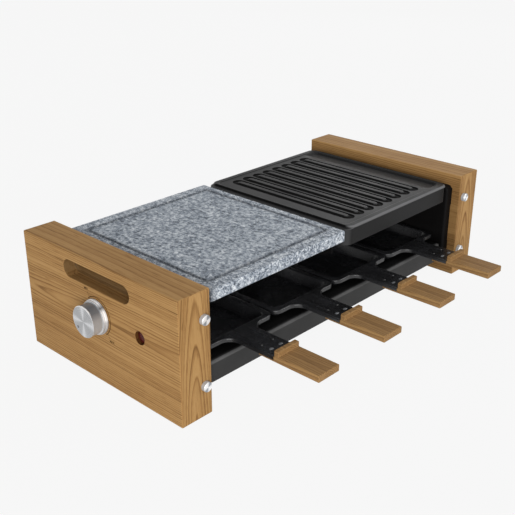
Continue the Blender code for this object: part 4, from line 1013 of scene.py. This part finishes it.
capSource = looseObject("capSource", latheMesh("cap", capProfile(), 48, Matrix.Rotation(math.pi / 2, 4, "X")))
smoothAll(capSource)
capScrews = looseObject("capScrews", bpy.data.meshes.new("capScrews"))
lowCap, highCap = caps["heights"]
runNodes(capScrews, capTree(), {
    "Cap": capSource, "Between Panels": caps["between"] / 1000, "Between Heights": (highCap - lowCap) / 1000,
    "Middle": (caps["middle"] / 1000, 0, (lowCap + highCap) / 2000), "Face": caps["face"] / 1000,
    "Material": polishedStainless,
})
bpy.data.objects.remove(capSource)
finishPiece(capScrews, polishedStainless, "housing", [
    f"cap_screw_{side}_{end}_{level}" for side in ("left", "right") for end in ("front", "back")
    for level in ("low", "high")
], angle=30)
print("cap screws ready")


# Control knob: turned from solid bar, stepped flange, thin lip round a flat face with a pointer dimple
knob = {
    "out": panels["outer"][-1], "reach": 17.0, "gap": 0.8, "radius": 16.3, "waist": 15.9, "lip": 0.9, "flange": 18.2,
    "flangeHeight": 2.4, "ring": 17.4, "ringHeight": 4.6, "edge": 0.4, "bore": 3.3, "boreDepth": 11.1,
    "dimpleAt": 11.8, "dimpleAngle": 228.0, "dimpleBall": 2.86, "dimpleLift": 2.47,
}


def knobProfile():
    k = knob
    rounded = [(k["radius"] - k["edge"] * (1 - out), k["reach"] - k["edge"] * down) for out, down in quarter(4)]
    return [
        (0, k["reach"] - 0.12), (k["radius"] * 0.55, k["reach"] - 0.04), (k["radius"] - k["edge"] - 0.4, k["reach"]),
        *rounded, (k["radius"], k["reach"] - k["lip"]), (k["waist"] + 0.1, k["reach"] - k["lip"] - 0.2),
        (k["waist"], k["reach"] - k["lip"] - 0.5), (k["waist"], k["gap"] + k["ringHeight"] + 0.5),
        (k["waist"] + 0.5, k["gap"] + k["ringHeight"]), (k["ring"] - 0.35, k["gap"] + k["ringHeight"]),
        (k["ring"] - 0.1, k["gap"] + k["ringHeight"] - 0.1), (k["ring"], k["gap"] + k["ringHeight"] - 0.35),
        (k["ring"], k["gap"] + k["flangeHeight"]), (k["flange"] - 0.4, k["gap"] + k["flangeHeight"]),
        (k["flange"] - 0.12, k["gap"] + k["flangeHeight"] - 0.12), (k["flange"], k["gap"] + k["flangeHeight"] - 0.4),
        (k["flange"], k["gap"] + 0.3), (k["flange"] - 0.3, k["gap"]), (k["bore"], k["gap"]),
        (k["bore"], k["boreDepth"]), (0, k["boreDepth"]),
    ]


knobPlace = Matrix.Translation((knob["out"], 0, knobHeight)) @ Matrix.Rotation(-math.pi / 2, 4, "Y")
controlKnob = looseObject("controlKnob", latheMesh("controlKnob", knobProfile(), 96, knobPlace))
dimple = math.radians(knob["dimpleAngle"])
ball = [
    (knob["dimpleBall"] * math.sin(math.pi * i / 16), knob["dimpleBall"] * math.cos(math.pi * i / 16))
    for i in range(17)
]
dimplePlace = Matrix.Translation((
    knob["out"] - knob["reach"] - knob["dimpleLift"],
    -knob["dimpleAt"] * math.sin(dimple), knobHeight + knob["dimpleAt"] * math.cos(dimple),
))
cutAway(controlKnob, latheMesh("dimple", ball, 32, dimplePlace))
finishPiece(controlKnob, turnedAluminium, "knob", ["control_knob"], angle=30)


# Lamp lens, sunk in its bore, with a low dome
lens = {"face": 2.6, "radius": 6.7, "dome": 1.2, "depth": 14.0}
lensProfile = [(lens["radius"] * out, -lens["dome"] * down - lens["face"]) for out, down in quarter(10)]
lensProfile += [(lens["radius"], -lens["depth"]), (0, -lens["depth"])]
lensMiddle = Matrix.Translation((panels["outer"][-1], panels["lensMiddle"], knobHeight))
lensPlace = lensMiddle @ Matrix.Rotation(-math.pi / 2, 4, "Y")
lampLens = looseObject("lampLens", latheMesh("lampLens", lensProfile, 48, lensPlace))
finishPiece(lampLens, redAcrylic, "housing", ["indicator_lens"], angle=50)


# Cord gland at the back of the control panel: a collar with an open throat
gland = {
    "x": panels["glandX"], "z": panels["glandHeight"], "face": panels["halfDepth"], "collar": 8.0,
    "collarHeight": 3.0, "body": 5.0, "throat": 3.4, "tail": 18.0,
}
glandProfile = [
    (gland["throat"], -gland["tail"]), (gland["throat"], gland["collarHeight"] - 0.9),
    (gland["throat"] + 0.3, gland["collarHeight"] - 0.3), (gland["throat"] + 0.9, gland["collarHeight"]),
    (gland["collar"] - 1.2, gland["collarHeight"]), (gland["collar"] - 0.4, gland["collarHeight"] - 0.3),
    (gland["collar"], gland["collarHeight"] - 1.1), (gland["collar"], 0.4), (gland["collar"] - 0.2, 0.2),
    (gland["body"], 0.2), (gland["body"], -gland["tail"]), (gland["throat"], -gland["tail"]),
]
glandPlace = Matrix.Translation((gland["x"], gland["face"], gland["z"])) @ Matrix.Rotation(-math.pi / 2, 4, "X")
cordGland = looseObject("cordGlandCollar", latheMesh("cordGlandCollar", glandProfile, 48, glandPlace))
finishPiece(cordGland, mouldedNylon, "housing", ["cord_gland"], angle=40)
print("controls ready")


# Pressed sheet: a flat with a rolled edge and pressings, given its gauge at the end
def pressedSheet(name, edgeRings, pressings, gauge, turn=None):
    work = bmesh.new()

    def row(points):
        corners = [work.verts.new(point) for point in points]
        return corners, [work.edges.new((a, b)) for a, b in zip(corners, corners[1:] + corners[:1])]

    groups = [[row(points) for points in rings] for rings in [edgeRings] + pressings]
    flat = [edge for rings in groups for edge in rings[0][1]]
    bmesh.ops.triangle_fill(work, use_beauty=True, edges=flat, normal=(0, 0, 1))
    for rings in groups:
        for (upper, _), (lower, _) in zip(rings, rings[1:]):
            for i in range(len(upper)):
                work.faces.new((upper[i - 1], upper[i], lower[i], lower[i - 1]))
    for rings in groups[1:]:
        work.faces.new(rings[-1][0])
    bmesh.ops.recalc_face_normals(work, faces=work.faces)
    level = max(work.faces, key=lambda face: face.calc_area())
    if level.normal.z < 0:
        bmesh.ops.reverse_faces(work, faces=work.faces)
    sheet = looseObject(name, writeMesh(work, name))
    shell = sheet.modifiers.new("gauge", "SOLIDIFY")
    shell.thickness = gauge / 1000
    shell.offset = -1
    shell.use_even_offset = True
    settle(sheet)
    if turn:
        sheet.data.transform(turn)
    return sheet


def rolledEdge(outline, radius, height, steps):
    return [atHeight(outline(radius * (1 - out)), height - radius * down) for out, down in quarter(steps)]


# Base tray: charcoal pressing with a rolled top edge and a shallow bay under each pan
base = {
    "middle": 8.5, "halfLength": 199.2, "halfDepth": 104.0, "top": 42.0, "wall": 22.0, "bend": 3.0, "gauge": 1.2,
    "bayHalf": 34.0, "bayLow": 19.0, "bayHigh": 81.9, "baySink": 1.2, "baySlope": 3.0, "bayCorner": 8.0,
}
panMiddles = [(i - 1.5) * 99.0 for i in range(4)]


def baseOutline(inset):
    return roundRing(
        inset - base["halfLength"], base["halfLength"] - inset, inset - base["halfDepth"], base["halfDepth"] - inset,
        base["bend"] + base["gauge"] - inset, 8,
    )


def bayRings(middle, end):
    rings = []
    for share in range(7):
        t = share / 6
        inset = base["baySlope"] * t
        drop = base["baySink"] * (1 - math.cos(math.pi * t)) / 2
        low, high = base["bayLow"] + inset, base["bayHigh"] - inset
        if end < 0:
            low, high = -high, -low
        points = roundRing(
            middle - base["bayHalf"] + inset, middle + base["bayHalf"] - inset, low, high, base["bayCorner"] - inset, 6
        )
        rings.append(atHeight(points, base["top"] - drop))
    return rings


baseRings = rolledEdge(baseOutline, base["bend"], base["top"], 6)
baseRings.append(atHeight(baseOutline(0), base["top"] - base["wall"]))
baseTray = pressedSheet(
    "baseTray", baseRings, [bayRings(middle, end) for end in (-1, 1) for middle in panMiddles], base["gauge"],
    Matrix.Translation((base["middle"] / 1000, 0, 0)),
)
finishPiece(baseTray, powderCharcoal, "housing", ["base_tray"], angle=40)
print("base tray ready")


# Pans: tray, rolled rim and neck pressed in one, on a wooden grip
pan = {
    "middle": 8.5, "front": -95.9, "rimTop": 54.6, "half": 48.0, "length": 90.9, "neckLength": 56.4, "neckHalf": 15.8,
    "corner": 9.0, "shoulder": 12.5, "gauge": 0.8, "roll": 1.4, "drop": 4.0, "flat": 5.2, "lip": 0.9, "wallSlope": 3.0,
    "foot": 2.2, "depth": 12.3, "beadWidth": 3.4, "beadRise": 0.8, "beadSpread": 15.5, "beadEnd": 20.0,
}


def panOutline(inset):
    half, neck, corner = pan["half"] - inset, pan["neckHalf"] - inset, pan["corner"] - inset
    shoulder = pan["shoulder"] + inset
    back = pan["length"] - inset
    right = [(neck, -pan["neckLength"])]
    for i in range(17):
        angle = math.radians(180 - 90 * i / 16)
        right.append((neck + shoulder + shoulder * math.cos(angle), inset - shoulder + shoulder * math.sin(angle)))
    for v, first in ((inset + corner, -90), (back - corner, 0)):
        for i in range(9):
            angle = math.radians(first + 90 * i / 8)
            right.append((half - corner + corner * math.cos(angle), v + corner * math.sin(angle)))
    return right + [(-u, v) for u, v in reversed(right)]


def panOpening(inset, height):
    flat = pan["roll"] + pan["flat"] + inset
    half = pan["half"] - flat
    corner = max(pan["corner"] - pan["roll"] - inset, pan["foot"])
    return atHeight(roundRing(-half, half, flat, pan["length"] - flat, corner, 8), height)


def panTray():
    lip, foot, floor = pan["lip"], pan["foot"], pan["gauge"] - pan["depth"]
    rings = [panOpening(lip * (out - 1), -lip * down) for out, down in quarter(5)[:-1]]
    rings.append(panOpening(0.12, -lip * 0.9))
    return rings + [
        panOpening(pan["wallSlope"] + foot * down, floor + foot * (1 - out)) for out, down in quarter(5)
    ]


def neckBead(side):
    rings = []
    for inset, rise in ((0.0, 0.0), (0.35, 0.25), (0.75, 0.6), (1.2, 0.8)):
        half = pan["beadWidth"] / 2 - inset
        middle = side * pan["beadSpread"] / 2
        points = roundRing(
            middle - half, middle + half, pan["beadEnd"] - pan["neckLength"] + inset, -inset, half, 5
        )
        rings.append(atHeight(points, rise * pan["beadRise"] / 0.8))
    return rings


panRings = rolledEdge(panOutline, pan["roll"], 0, 5)
panRings.append(atHeight(panOutline(0), -pan["drop"]))
panPressing = pressedSheet("panPressing", panRings, [panTray(), neckBead(-1), neckBead(1)], pan["gauge"])
cutAway(panPressing, boxMesh(
    "mouth", (pan["gauge"] - pan["neckHalf"], -pan["neckLength"] - 4, -8.0),
    (pan["neckHalf"] - pan["gauge"], pan["roll"] + pan["gauge"] - pan["neckLength"], -pan["gauge"]),
))

grip = {
    "half": 14.7, "bottom": 48.1, "tongueTop": 53.5, "top": 55.3, "ridgeTop": 60.6, "tongueEnd": -133.0,
    "ridge": -152.6, "ridgeDepth": 5.7, "tip": -206.7, "edge": 0.9,
}


def gripMesh():
    g = grip
    profile = [
        (g["tongueEnd"], g["bottom"]), (g["tongueEnd"], g["tongueTop"]), (g["ridge"], g["tongueTop"]),
        (g["ridge"], g["ridgeTop"]), (g["ridge"] - g["ridgeDepth"], g["ridgeTop"]),
        (g["ridge"] - g["ridgeDepth"], g["top"]), (g["tip"], g["top"]), (g["tip"], g["bottom"]),
    ]
    rings = [[(x, y, z) for y, z in profile] for x in (-g["half"], g["half"])]
    made = looseObject("gripShape", loftMesh("gripShape", rings))
    return roundEdges(made, g["edge"], 4)


# Rivets and lanced tabs on each neck, set in pairs by one tree
fixings = {
    "rivetGap": 15.2, "rivetAt": -130.0, "tabGap": 13.2, "tabAt": -142.0, "rivet": 1.15, "rivetRise": 0.55,
    "tab": (2.7, 1.7), "tabRise": 0.6,
}


def fixingTree():
    tree, given = startNodes("neckFixings", [
        ("Rivet", "Object"), ("Tab", "Object"), ("Rivet Gap", "Float"), ("Tab Gap", "Float"),
        ("Rivet Place", "Vector"), ("Tab Place", "Vector"), ("Turn", "Vector"), ("Material", "Material"),
    ])
    pairs = []
    for shape in ("Rivet", "Tab"):
        part = addNode(tree, "GeometryNodeObjectInfo", {"Object": given[shape]}).outputs["Geometry"]
        gap = addNode(tree, "ShaderNodeCombineXYZ", {"X": given[shape + " Gap"]}).outputs[0]
        back = addNode(tree, "ShaderNodeVectorMath", {0: gap, "Scale": -0.5}, operation="SCALE").outputs[0]
        start = addNode(
            tree, "ShaderNodeVectorMath", {0: given[shape + " Place"], 1: back}, operation="ADD"
        ).outputs[0]
        line = addNode(
            tree, "GeometryNodeMeshLine", {"Count": 2, "Start Location": start, "Offset": gap}, mode="OFFSET"
        ).outputs[0]
        pairs.append(addNode(
            tree, "GeometryNodeInstanceOnPoints", {"Points": line, "Instance": part, "Rotation": given["Turn"]}
        ).outputs[0])
    return endNodes(tree, pairs, given["Material"])


def domeProfile(radius, height):
    return [(radius * out, height * (1 - down)) for out, down in quarter(8)] + [(radius, -0.3), (0, -0.3)]


# worn non-stick: where the punch has stretched the coat the steel shines through
wornCoat = makeCoating("wornPunchedCoat", {
    "grain": 0.4, "cloud": 1.5, "colours": ("#4a4c4f", "#74777b"), "gloss": (0.25, 0.35), "sheen": 0.6, "relief": 0.2,
})
rivetSource = looseObject("rivetSource", latheMesh("rivet", domeProfile(fixings["rivet"], fixings["rivetRise"]), 24))
tabSource = looseObject("tabSource", latheMesh(
    "tab", domeProfile(1.0, fixings["tabRise"]), 32, Matrix.Diagonal((*fixings["tab"], 1.0, 1.0))
))
for source in (rivetSource, tabSource):
    smoothAll(source)
neckFixings = fixingTree()
gripShape = gripMesh()
for end, endName in ((-1, "front"), (1, "back")):
    for number, middle in enumerate(panMiddles):
        name = f"{endName}Pan{number + 1}"
        body = f"{endName}_pan_{number + 1}"
        turn = Matrix.Rotation(0 if end < 0 else math.pi, 4, "Z")
        place = Matrix.Translation(((middle + pan["middle"]) / 1000, 0, 0))
        tray = looseObject(name, panPressing.data.copy())
        toRim = Matrix.Translation((0, pan["front"] / 1000, pan["rimTop"] / 1000))
        tray.data.transform(place @ turn @ toRim)
        finishPiece(tray, panCoat, body, [f"pan_{endName}_{number + 1}"], angle=40)
        handle = looseObject(name + "Grip", gripShape.data.copy())
        handle.data.transform(place @ turn)
        finishPiece(handle, stainedBeech, body, [f"pan_{endName}_{number + 1}_grip"], angle=30)
        pair = looseObject(name + "Fixings", bpy.data.meshes.new(name + "Fixings"))
        x = (middle + pan["middle"]) / 1000
        runNodes(pair, neckFixings, {
            "Rivet": rivetSource, "Tab": tabSource, "Rivet Gap": fixings["rivetGap"] / 1000,
            "Tab Gap": fixings["tabGap"] / 1000, "Turn": (0, 0, 0), "Material": wornCoat,
            "Rivet Place": (x, -end * fixings["rivetAt"] / 1000, pan["rimTop"] / 1000),
            "Tab Place": (x, -end * fixings["tabAt"] / 1000, pan["rimTop"] / 1000),
        })
        finishPiece(pair, wornCoat, body, (), angle=40)
for source in (rivetSource, tabSource, panPressing, gripShape):
    bpy.data.objects.remove(source)
print("pans ready")


# Stone plate: one sawn slab with a round-bottomed groove
stone = {
    "left": -190.6, "right": 4.9, "half": 108.2, "bottom": 107.8, "top": 119.9, "edge": 0.9, "sideMargin": 9.0,
    "frontMargin": 14.3, "grooveWidth": 3.6, "grooveSink": 1.6, "grooveCorner": 8.6, "grooveFullness": 0.6,
    "corner": 1.6,
}


def stoneRings():
    s = stone

    def edgeRing(out, height):
        inset = s["edge"] * (1 - out)
        return atHeight(roundRing(
            s["left"] + inset, s["right"] - inset, inset - s["half"], s["half"] - inset, s["corner"] - inset, 8
        ), height)

    rings = [edgeRing(out, s["bottom"] + s["edge"] * down) for out, down in quarter(3)]
    rings += [edgeRing(out, s["top"] - s["edge"] * down) for out, down in reversed(quarter(4))]
    for i in range(13):
        t = i / 12
        inset = s["grooveWidth"] * t
        sink = s["grooveSink"] * math.sin(math.pi * t) ** s["grooveFullness"]
        points = roundRing(
            s["left"] + s["sideMargin"] + inset, s["right"] - s["sideMargin"] - inset,
            s["frontMargin"] + inset - s["half"], s["half"] - s["frontMargin"] - inset, s["grooveCorner"] - inset, 8,
        )
        rings.append(atHeight(points, s["top"] - sink))
    return rings


stonePlate = looseObject("stoneSlab", loftMesh("stoneSlab", stoneRings()))
finishPiece(stonePlate, honedGranite, "stone", ["stone_plate"], angle=40)
print("stone ready")


# Ribbed plate: lofted shell, then pits, ribs and the grease channel by one tree
plate = {
    "left": 9.0, "right": 207.6, "halfDepth": 107.6, "bottom": 99.5, "top": 120.6, "floor": 5.2, "skirt": 3.4,
    "skirtCorner": 11.0, "rimHeight": 2.4, "lead": 0.5, "overhang": 0.6, "rimCorner": 8.5, "ledge": 6.8,
    "farLedge": 0.8, "endRound": 3.2, "sideRound": 0.7, "rimEnd": 8.0, "rimSide": 1.8, "slope": 1.6, "sink": 0.6,
}
ribs = {
    "count": 8, "pitch": 17.8, "first": 40.5, "width": 6.6, "length": 166.0, "rise": 0.9, "round": 1.0, "flank": 1.2,
    "hip": 4.0, "pitSink": 1.4, "pitFloor": 2.0, "pitSlope": 1.1,
}
channel = {"width": 26.2, "fromRim": 0.4, "sink": 2.4, "near": 12.0, "far": 1.2, "end": 4.0, "corner": 5.0}


def plateRing(near, far, end, radius, height):
    points = roundRing(
        plate["left"] + near, plate["right"] - far, end - plate["halfDepth"], plate["halfDepth"] - end, radius, 8
    )
    return atHeight(points, height)


def plateShell():
    p = plate
    well, low = p["top"] - p["sink"], p["top"] - p["rimHeight"]
    inner = p["overhang"] + p["skirt"]
    corner = p["skirtCorner"] - p["skirt"]
    rings = [
        plateRing(p["skirt"] + 1.5, p["skirt"] + 1.5, inner + 1.5, corner - 1.5, well - p["floor"]),
        plateRing(p["skirt"] + 0.4, p["skirt"] + 0.4, inner + 0.4, corner - 0.4, well - p["floor"] - 0.4),
        plateRing(p["skirt"], p["skirt"], inner, corner, well - p["floor"] - 1.5),
        plateRing(p["skirt"], p["skirt"], inner, corner, p["bottom"]),
        plateRing(0.3, 0.3, p["overhang"] + 0.3, p["skirtCorner"] - 0.3, p["bottom"]),
        plateRing(0, 0, p["overhang"], p["skirtCorner"], p["bottom"] + 0.3),
        plateRing(0, 0, p["overhang"], p["skirtCorner"], low - p["lead"] - 0.4),
        plateRing(0.12, 0.12, p["overhang"] + 0.02, p["skirtCorner"] - 0.12, low - p["lead"] - 0.1),
        plateRing(0.4, 0.35, p["overhang"], p["skirtCorner"] - 0.4, low - p["lead"]),
    ]
    for out, down in reversed(quarter(7)):
        rings.append(plateRing(
            p["ledge"] + p["sideRound"] * (1 - out), p["farLedge"] + p["sideRound"] * (1 - out),
            p["endRound"] * (1 - out), p["rimCorner"] - p["sideRound"] * (1 - out),
            max(p["top"] - min(p["rimHeight"], p["endRound"]) * down, low),
        ))
    near, far, end = p["ledge"] + p["rimSide"], p["farLedge"] + p["rimSide"], p["rimEnd"]
    corner = p["rimCorner"] - p["rimSide"]
    for t in (0.0, 0.12, 0.35, 0.65, 0.88, 1.0):
        drop = p["sink"] * (1 - math.cos(math.pi * t)) / 2
        rings.append(plateRing(
            near + p["slope"] * t, far + p["slope"] * t, end + p["slope"] * t, corner, p["top"] - drop
        ))
    return loftMesh("ribbedPlate", rings)


wellFloor = plate["top"] - plate["sink"]


def ribRing(spread, hip, height):
    half = ribs["width"] / 2 + spread
    reach = ribs["length"] / 2 + spread + hip
    return atHeight(roundRing(-half, half, -reach, reach, half, 8), height)


def pitShape():
    floor = wellFloor - ribs["pitSink"]
    foot = ribs["flank"] + ribs["pitFloor"]
    slope = ribs["pitSlope"]
    return loftMesh("pit", [
        ribRing(foot + spread, ribs["hip"], height) for spread, height in (
            (slope + 0.25, wellFloor + 3.0), (slope + 0.25, wellFloor), (slope, wellFloor - 0.12),
            (0.2, floor + 0.15), (0.0, floor),
        )
    ])


def ribShape():
    top = wellFloor + ribs["rise"]
    floor = wellFloor - ribs["pitSink"]
    size = ribs["round"]
    rings = [
        ribRing(-size * (1 - out), ribs["hip"] * 0.15 * down, top - size * down) for out, down in quarter(5)
    ]
    rings += [
        ribRing(ribs["flank"] * 0.8, ribs["hip"] * 0.8, floor + 0.35),
        ribRing(ribs["flank"] + 0.25, ribs["hip"], floor), ribRing(ribs["flank"] + 0.25, ribs["hip"], floor - 1.5),
    ]
    return loftMesh("rib", rings)


def channelShape():
    c, p = channel, plate
    far = p["right"] - p["farLedge"] - p["rimSide"] - p["slope"] - c["fromRim"]
    end = p["halfDepth"] - p["rimEnd"] - p["slope"] - c["fromRim"]
    rings = []
    for share, drop in ((0.0, -3.0), (0.0, 0.0), (0.06, 0.04), (0.5, 0.5), (0.94, 0.96), (1.0, 1.0)):
        points = roundRing(
            far - c["width"] + c["near"] * share, far - c["far"] * share, c["end"] * share - end,
            end - c["end"] * share, c["corner"] - c["far"] * share, 6,
        )
        rings.append(atHeight(points, wellFloor - (c["sink"] * drop if drop > 0 else drop)))
    return loftMesh("channel", rings)


def ribTree():
    tree, given = startNodes("ribsInPits", [
        ("Count", "Int"), ("First", "Vector"), ("Pitch", "Float"), ("Pit", "Object"), ("Rib", "Object"),
        ("Channel", "Object"), ("Material", "Material"),
    ])
    step = addNode(tree, "ShaderNodeCombineXYZ", {"X": given["Pitch"]}).outputs[0]
    line = addNode(tree, "GeometryNodeMeshLine", {
        "Count": given["Count"], "Start Location": given["First"], "Offset": step,
    }, mode="OFFSET").outputs[0]
    rows = []
    for shape in ("Pit", "Rib"):
        part = addNode(tree, "GeometryNodeObjectInfo", {"Object": given[shape]}).outputs["Geometry"]
        copies = addNode(tree, "GeometryNodeInstanceOnPoints", {"Points": line, "Instance": part}).outputs[0]
        rows.append(addNode(tree, "GeometryNodeRealizeInstances", {0: copies}).outputs[0])
    trough = addNode(tree, "GeometryNodeObjectInfo", {"Object": given["Channel"]}).outputs["Geometry"]
    pitted = addNode(
        tree, "GeometryNodeMeshBoolean", {"Mesh 1": given["Geometry"], "Mesh 2": rows[0]},
        operation="DIFFERENCE", solver="EXACT",
    ).outputs[0]
    grooved = addNode(
        tree, "GeometryNodeMeshBoolean", {"Mesh 1": pitted, "Mesh 2": trough}, operation="DIFFERENCE", solver="EXACT"
    ).outputs[0]
    ribbed = addNode(tree, "GeometryNodeMeshBoolean", {"Mesh 2": grooved}, operation="UNION", solver="EXACT")
    tree.links.new(rows[1], ribbed.inputs["Mesh 2"])
    return endNodes(tree, [ribbed.outputs[0]], given["Material"])


ribbedPlate = looseObject("ribbedGrillPlate", plateShell())
shapes = [looseObject(mesh.name, mesh) for mesh in (pitShape(), ribShape(), channelShape())]
runNodes(ribbedPlate, ribTree(), {
    "Count": ribs["count"], "First": (ribs["first"] / 1000, 0, 0), "Pitch": ribs["pitch"] / 1000,
    "Pit": shapes[0], "Rib": shapes[1], "Channel": shapes[2], "Material": castCoat,
})
for shape in shapes:
    bpy.data.objects.remove(shape)
finishPiece(ribbedPlate, castCoat, "ribbed_plate", ["grill_plate"], angle=28)
print("ribbed plate ready:", len(ribbedPlate.data.polygons), "faces")


# Heating element: one bent tube in four runs, and the two rods that carry the strips
element = {"height": 84.0, "radius": 3.25, "pitch": 40.0, "tail": -203.0, "far": 196.0, "middle": 8.5}


def elementRoute():
    bend = element["pitch"] / 2
    outer = element["pitch"] * 1.5
    far, near = element["far"] - bend, bend - (element["far"] - 2 * element["middle"])
    points = [(element["tail"], -outer), (-120.0, -outer), (0.0, -outer)]
    # three half turns, at the far end, the near end and the far end again
    for x, y, way in ((far, -2 * bend, 1), (near, 0.0, -1), (far, 2 * bend, 1)):
        for i in range(17):
            angle = math.pi * (i / 16 - 0.5)
            points.append((x + way * bend * math.cos(angle), y + bend * math.sin(angle)))
    return points + [(0.0, outer), (-120.0, outer), (element["tail"], outer)]


def tubeMesh(name, points, radius):
    line = bpy.data.curves.new(name, "CURVE")
    line.dimensions = "3D"
    line.bevel_depth = radius / 1000
    line.bevel_resolution = 5
    line.use_fill_caps = True
    spline = line.splines.new("POLY")
    spline.points.add(len(points) - 1)
    for at, (x, y, z) in zip(spline.points, points):
        at.co = (x / 1000, y / 1000, z / 1000, 1)
    return fromCurve(name, line)


heater = tubeMesh("tubularHeater", [(x, y, element["height"]) for x, y in elementRoute()], element["radius"])
finishPiece(heater, heatedSheath, "housing", ["heating_element"], angle=50)
rods = {"radius": 2.5, "spread": 40.0, "height": 94.9, "middle": 8.5, "reach": 202.5, "edge": 0.4}
for end, endName in ((-1, "front"), (1, "back")):
    rod = tubeMesh(endName + "Rod", [
        (rods["middle"] + way * rods["reach"], end * rods["spread"], rods["height"]) for way in (-1, 1)
    ], rods["radius"])
    roundEdges(rod, rods["edge"], 2)
    finishPiece(rod, zincSteel, "housing", [f"rail_{endName}"], angle=40)
print("hearth ready")


# The solids that keep their own shape get their materials here
for node, material in {
    "left_end_plate": stoveBlack, "right_end_plate": stoveBlack, "crossbar": stoveBlack, "element_hanger": stoveBlack,
    "thermostat": mouldedBlack, "lamp_holder": mouldedBlack, "control_shaft": drawnSteel,
}.items():
    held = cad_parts[node].data.materials
    held.clear()
    held.append(material)


# Camera where the photograph was taken, floor and light
view = {"place": (-0.6619, -0.6101, 0.4575), "forward": (0.6649, 0.6271, -0.4058), "lens": 59.47}
cameraData = bpy.data.cameras.new("camera")
cameraData.sensor_width = 36.0
cameraData.lens = view["lens"]
cameraData.clip_end = 50.0
camera = looseObject("camera", cameraData)
camera.rotation_euler = Vector(view["forward"]).to_track_quat("-Z", "Y").to_euler()
camera.location = view["place"]
bpy.context.scene.camera = camera

studio = {
    "sky": 0.5, "backdrop": "#f8f8f8", "floorSize": 14.0, "floorShade": 0.8, "floorGlow": 0.97,
    "aim": (0, 0, 0.08),
    "key": {"place": (-1.8, -1.8, 0.5), "size": (1.8, 0.9), "watts": 46.0},
    "back": {"place": (2.0, 1.1, 0.75), "size": (0.8, 0.5), "watts": 3.0},
    "strip": {"place": (1.0, -0.75, 1.1), "size": (0.9, 0.3), "watts": 5.0},
}


def seenOrReflected(tree):
    # one for rays that look at a surface, mirror it or pass through it, none for those that light the object
    rays = addNode(tree, "ShaderNodeLightPath").outputs
    both = addNode(
        tree, "ShaderNodeMath", {0: rays["Is Camera Ray"], 1: rays["Is Glossy Ray"]}, operation="MAXIMUM"
    ).outputs[0]
    return addNode(
        tree, "ShaderNodeMath", {0: both, 1: rays["Is Transmission Ray"]}, operation="MAXIMUM"
    ).outputs[0]


def makeWorld():
    world = bpy.data.worlds.new("studio")
    world.use_nodes = True
    bpy.context.scene.world = world
    tree = world.node_tree
    tree.nodes.clear()
    light = addNode(tree, "ShaderNodeBackground", {"Color": (1, 1, 1, 1), "Strength": studio["sky"]}).outputs[0]
    seen = addNode(
        tree, "ShaderNodeBackground", {"Color": linearColour(studio["backdrop"]), "Strength": 1.0}
    ).outputs[0]
    mixed = addNode(tree, "ShaderNodeMixShader", {0: seenOrReflected(tree), 1: light, 2: seen}).outputs[0]
    addNode(tree, "ShaderNodeOutputWorld", {0: mixed})


def makeFloor():
    half = studio["floorSize"] / 2
    mesh = bpy.data.meshes.new("floor")
    mesh.from_pydata([(-half, -half, 0), (half, -half, 0), (half, half, 0), (-half, half, 0)], [], [(0, 1, 2, 3)])
    floor = looseObject("floor", mesh)
    material = bpy.data.materials.new("paleFloor")
    material.use_nodes = True
    tree = material.node_tree
    tree.nodes.clear()
    shade = studio["floorShade"]
    matt = addNode(tree, "ShaderNodeBsdfDiffuse", {"Color": (shade, shade, shade, 1)}).outputs[0]
    glow = addNode(
        tree, "ShaderNodeEmission", {"Color": linearColour(studio["backdrop"]), "Strength": 1.0}
    ).outputs[0]
    share = addNode(
        tree, "ShaderNodeMath", {0: seenOrReflected(tree), 1: studio["floorGlow"]}, operation="MULTIPLY"
    ).outputs[0]
    mixed = addNode(tree, "ShaderNodeMixShader", {0: share, 1: matt, 2: glow}).outputs[0]
    addNode(tree, "ShaderNodeOutputMaterial", {0: mixed})
    floor.data.materials.append(material)


def addSoftbox(name, lamp):
    data = bpy.data.lights.new(name, "AREA")
    data.shape = "RECTANGLE"
    data.size, data.size_y = lamp["size"]
    data.energy = lamp["watts"]
    box = looseObject(name, data)
    box.location = lamp["place"]
    aim = Vector(studio["aim"]) - Vector(lamp["place"])
    box.rotation_euler = aim.to_track_quat("-Z", "Y").to_euler()


makeWorld()
makeFloor()
for lampName in ("key", "back", "strip"):
    addSoftbox(lampName, studio[lampName])
bpy.context.scene.view_settings.view_transform = "Standard"
print("camera, floor and light ready")
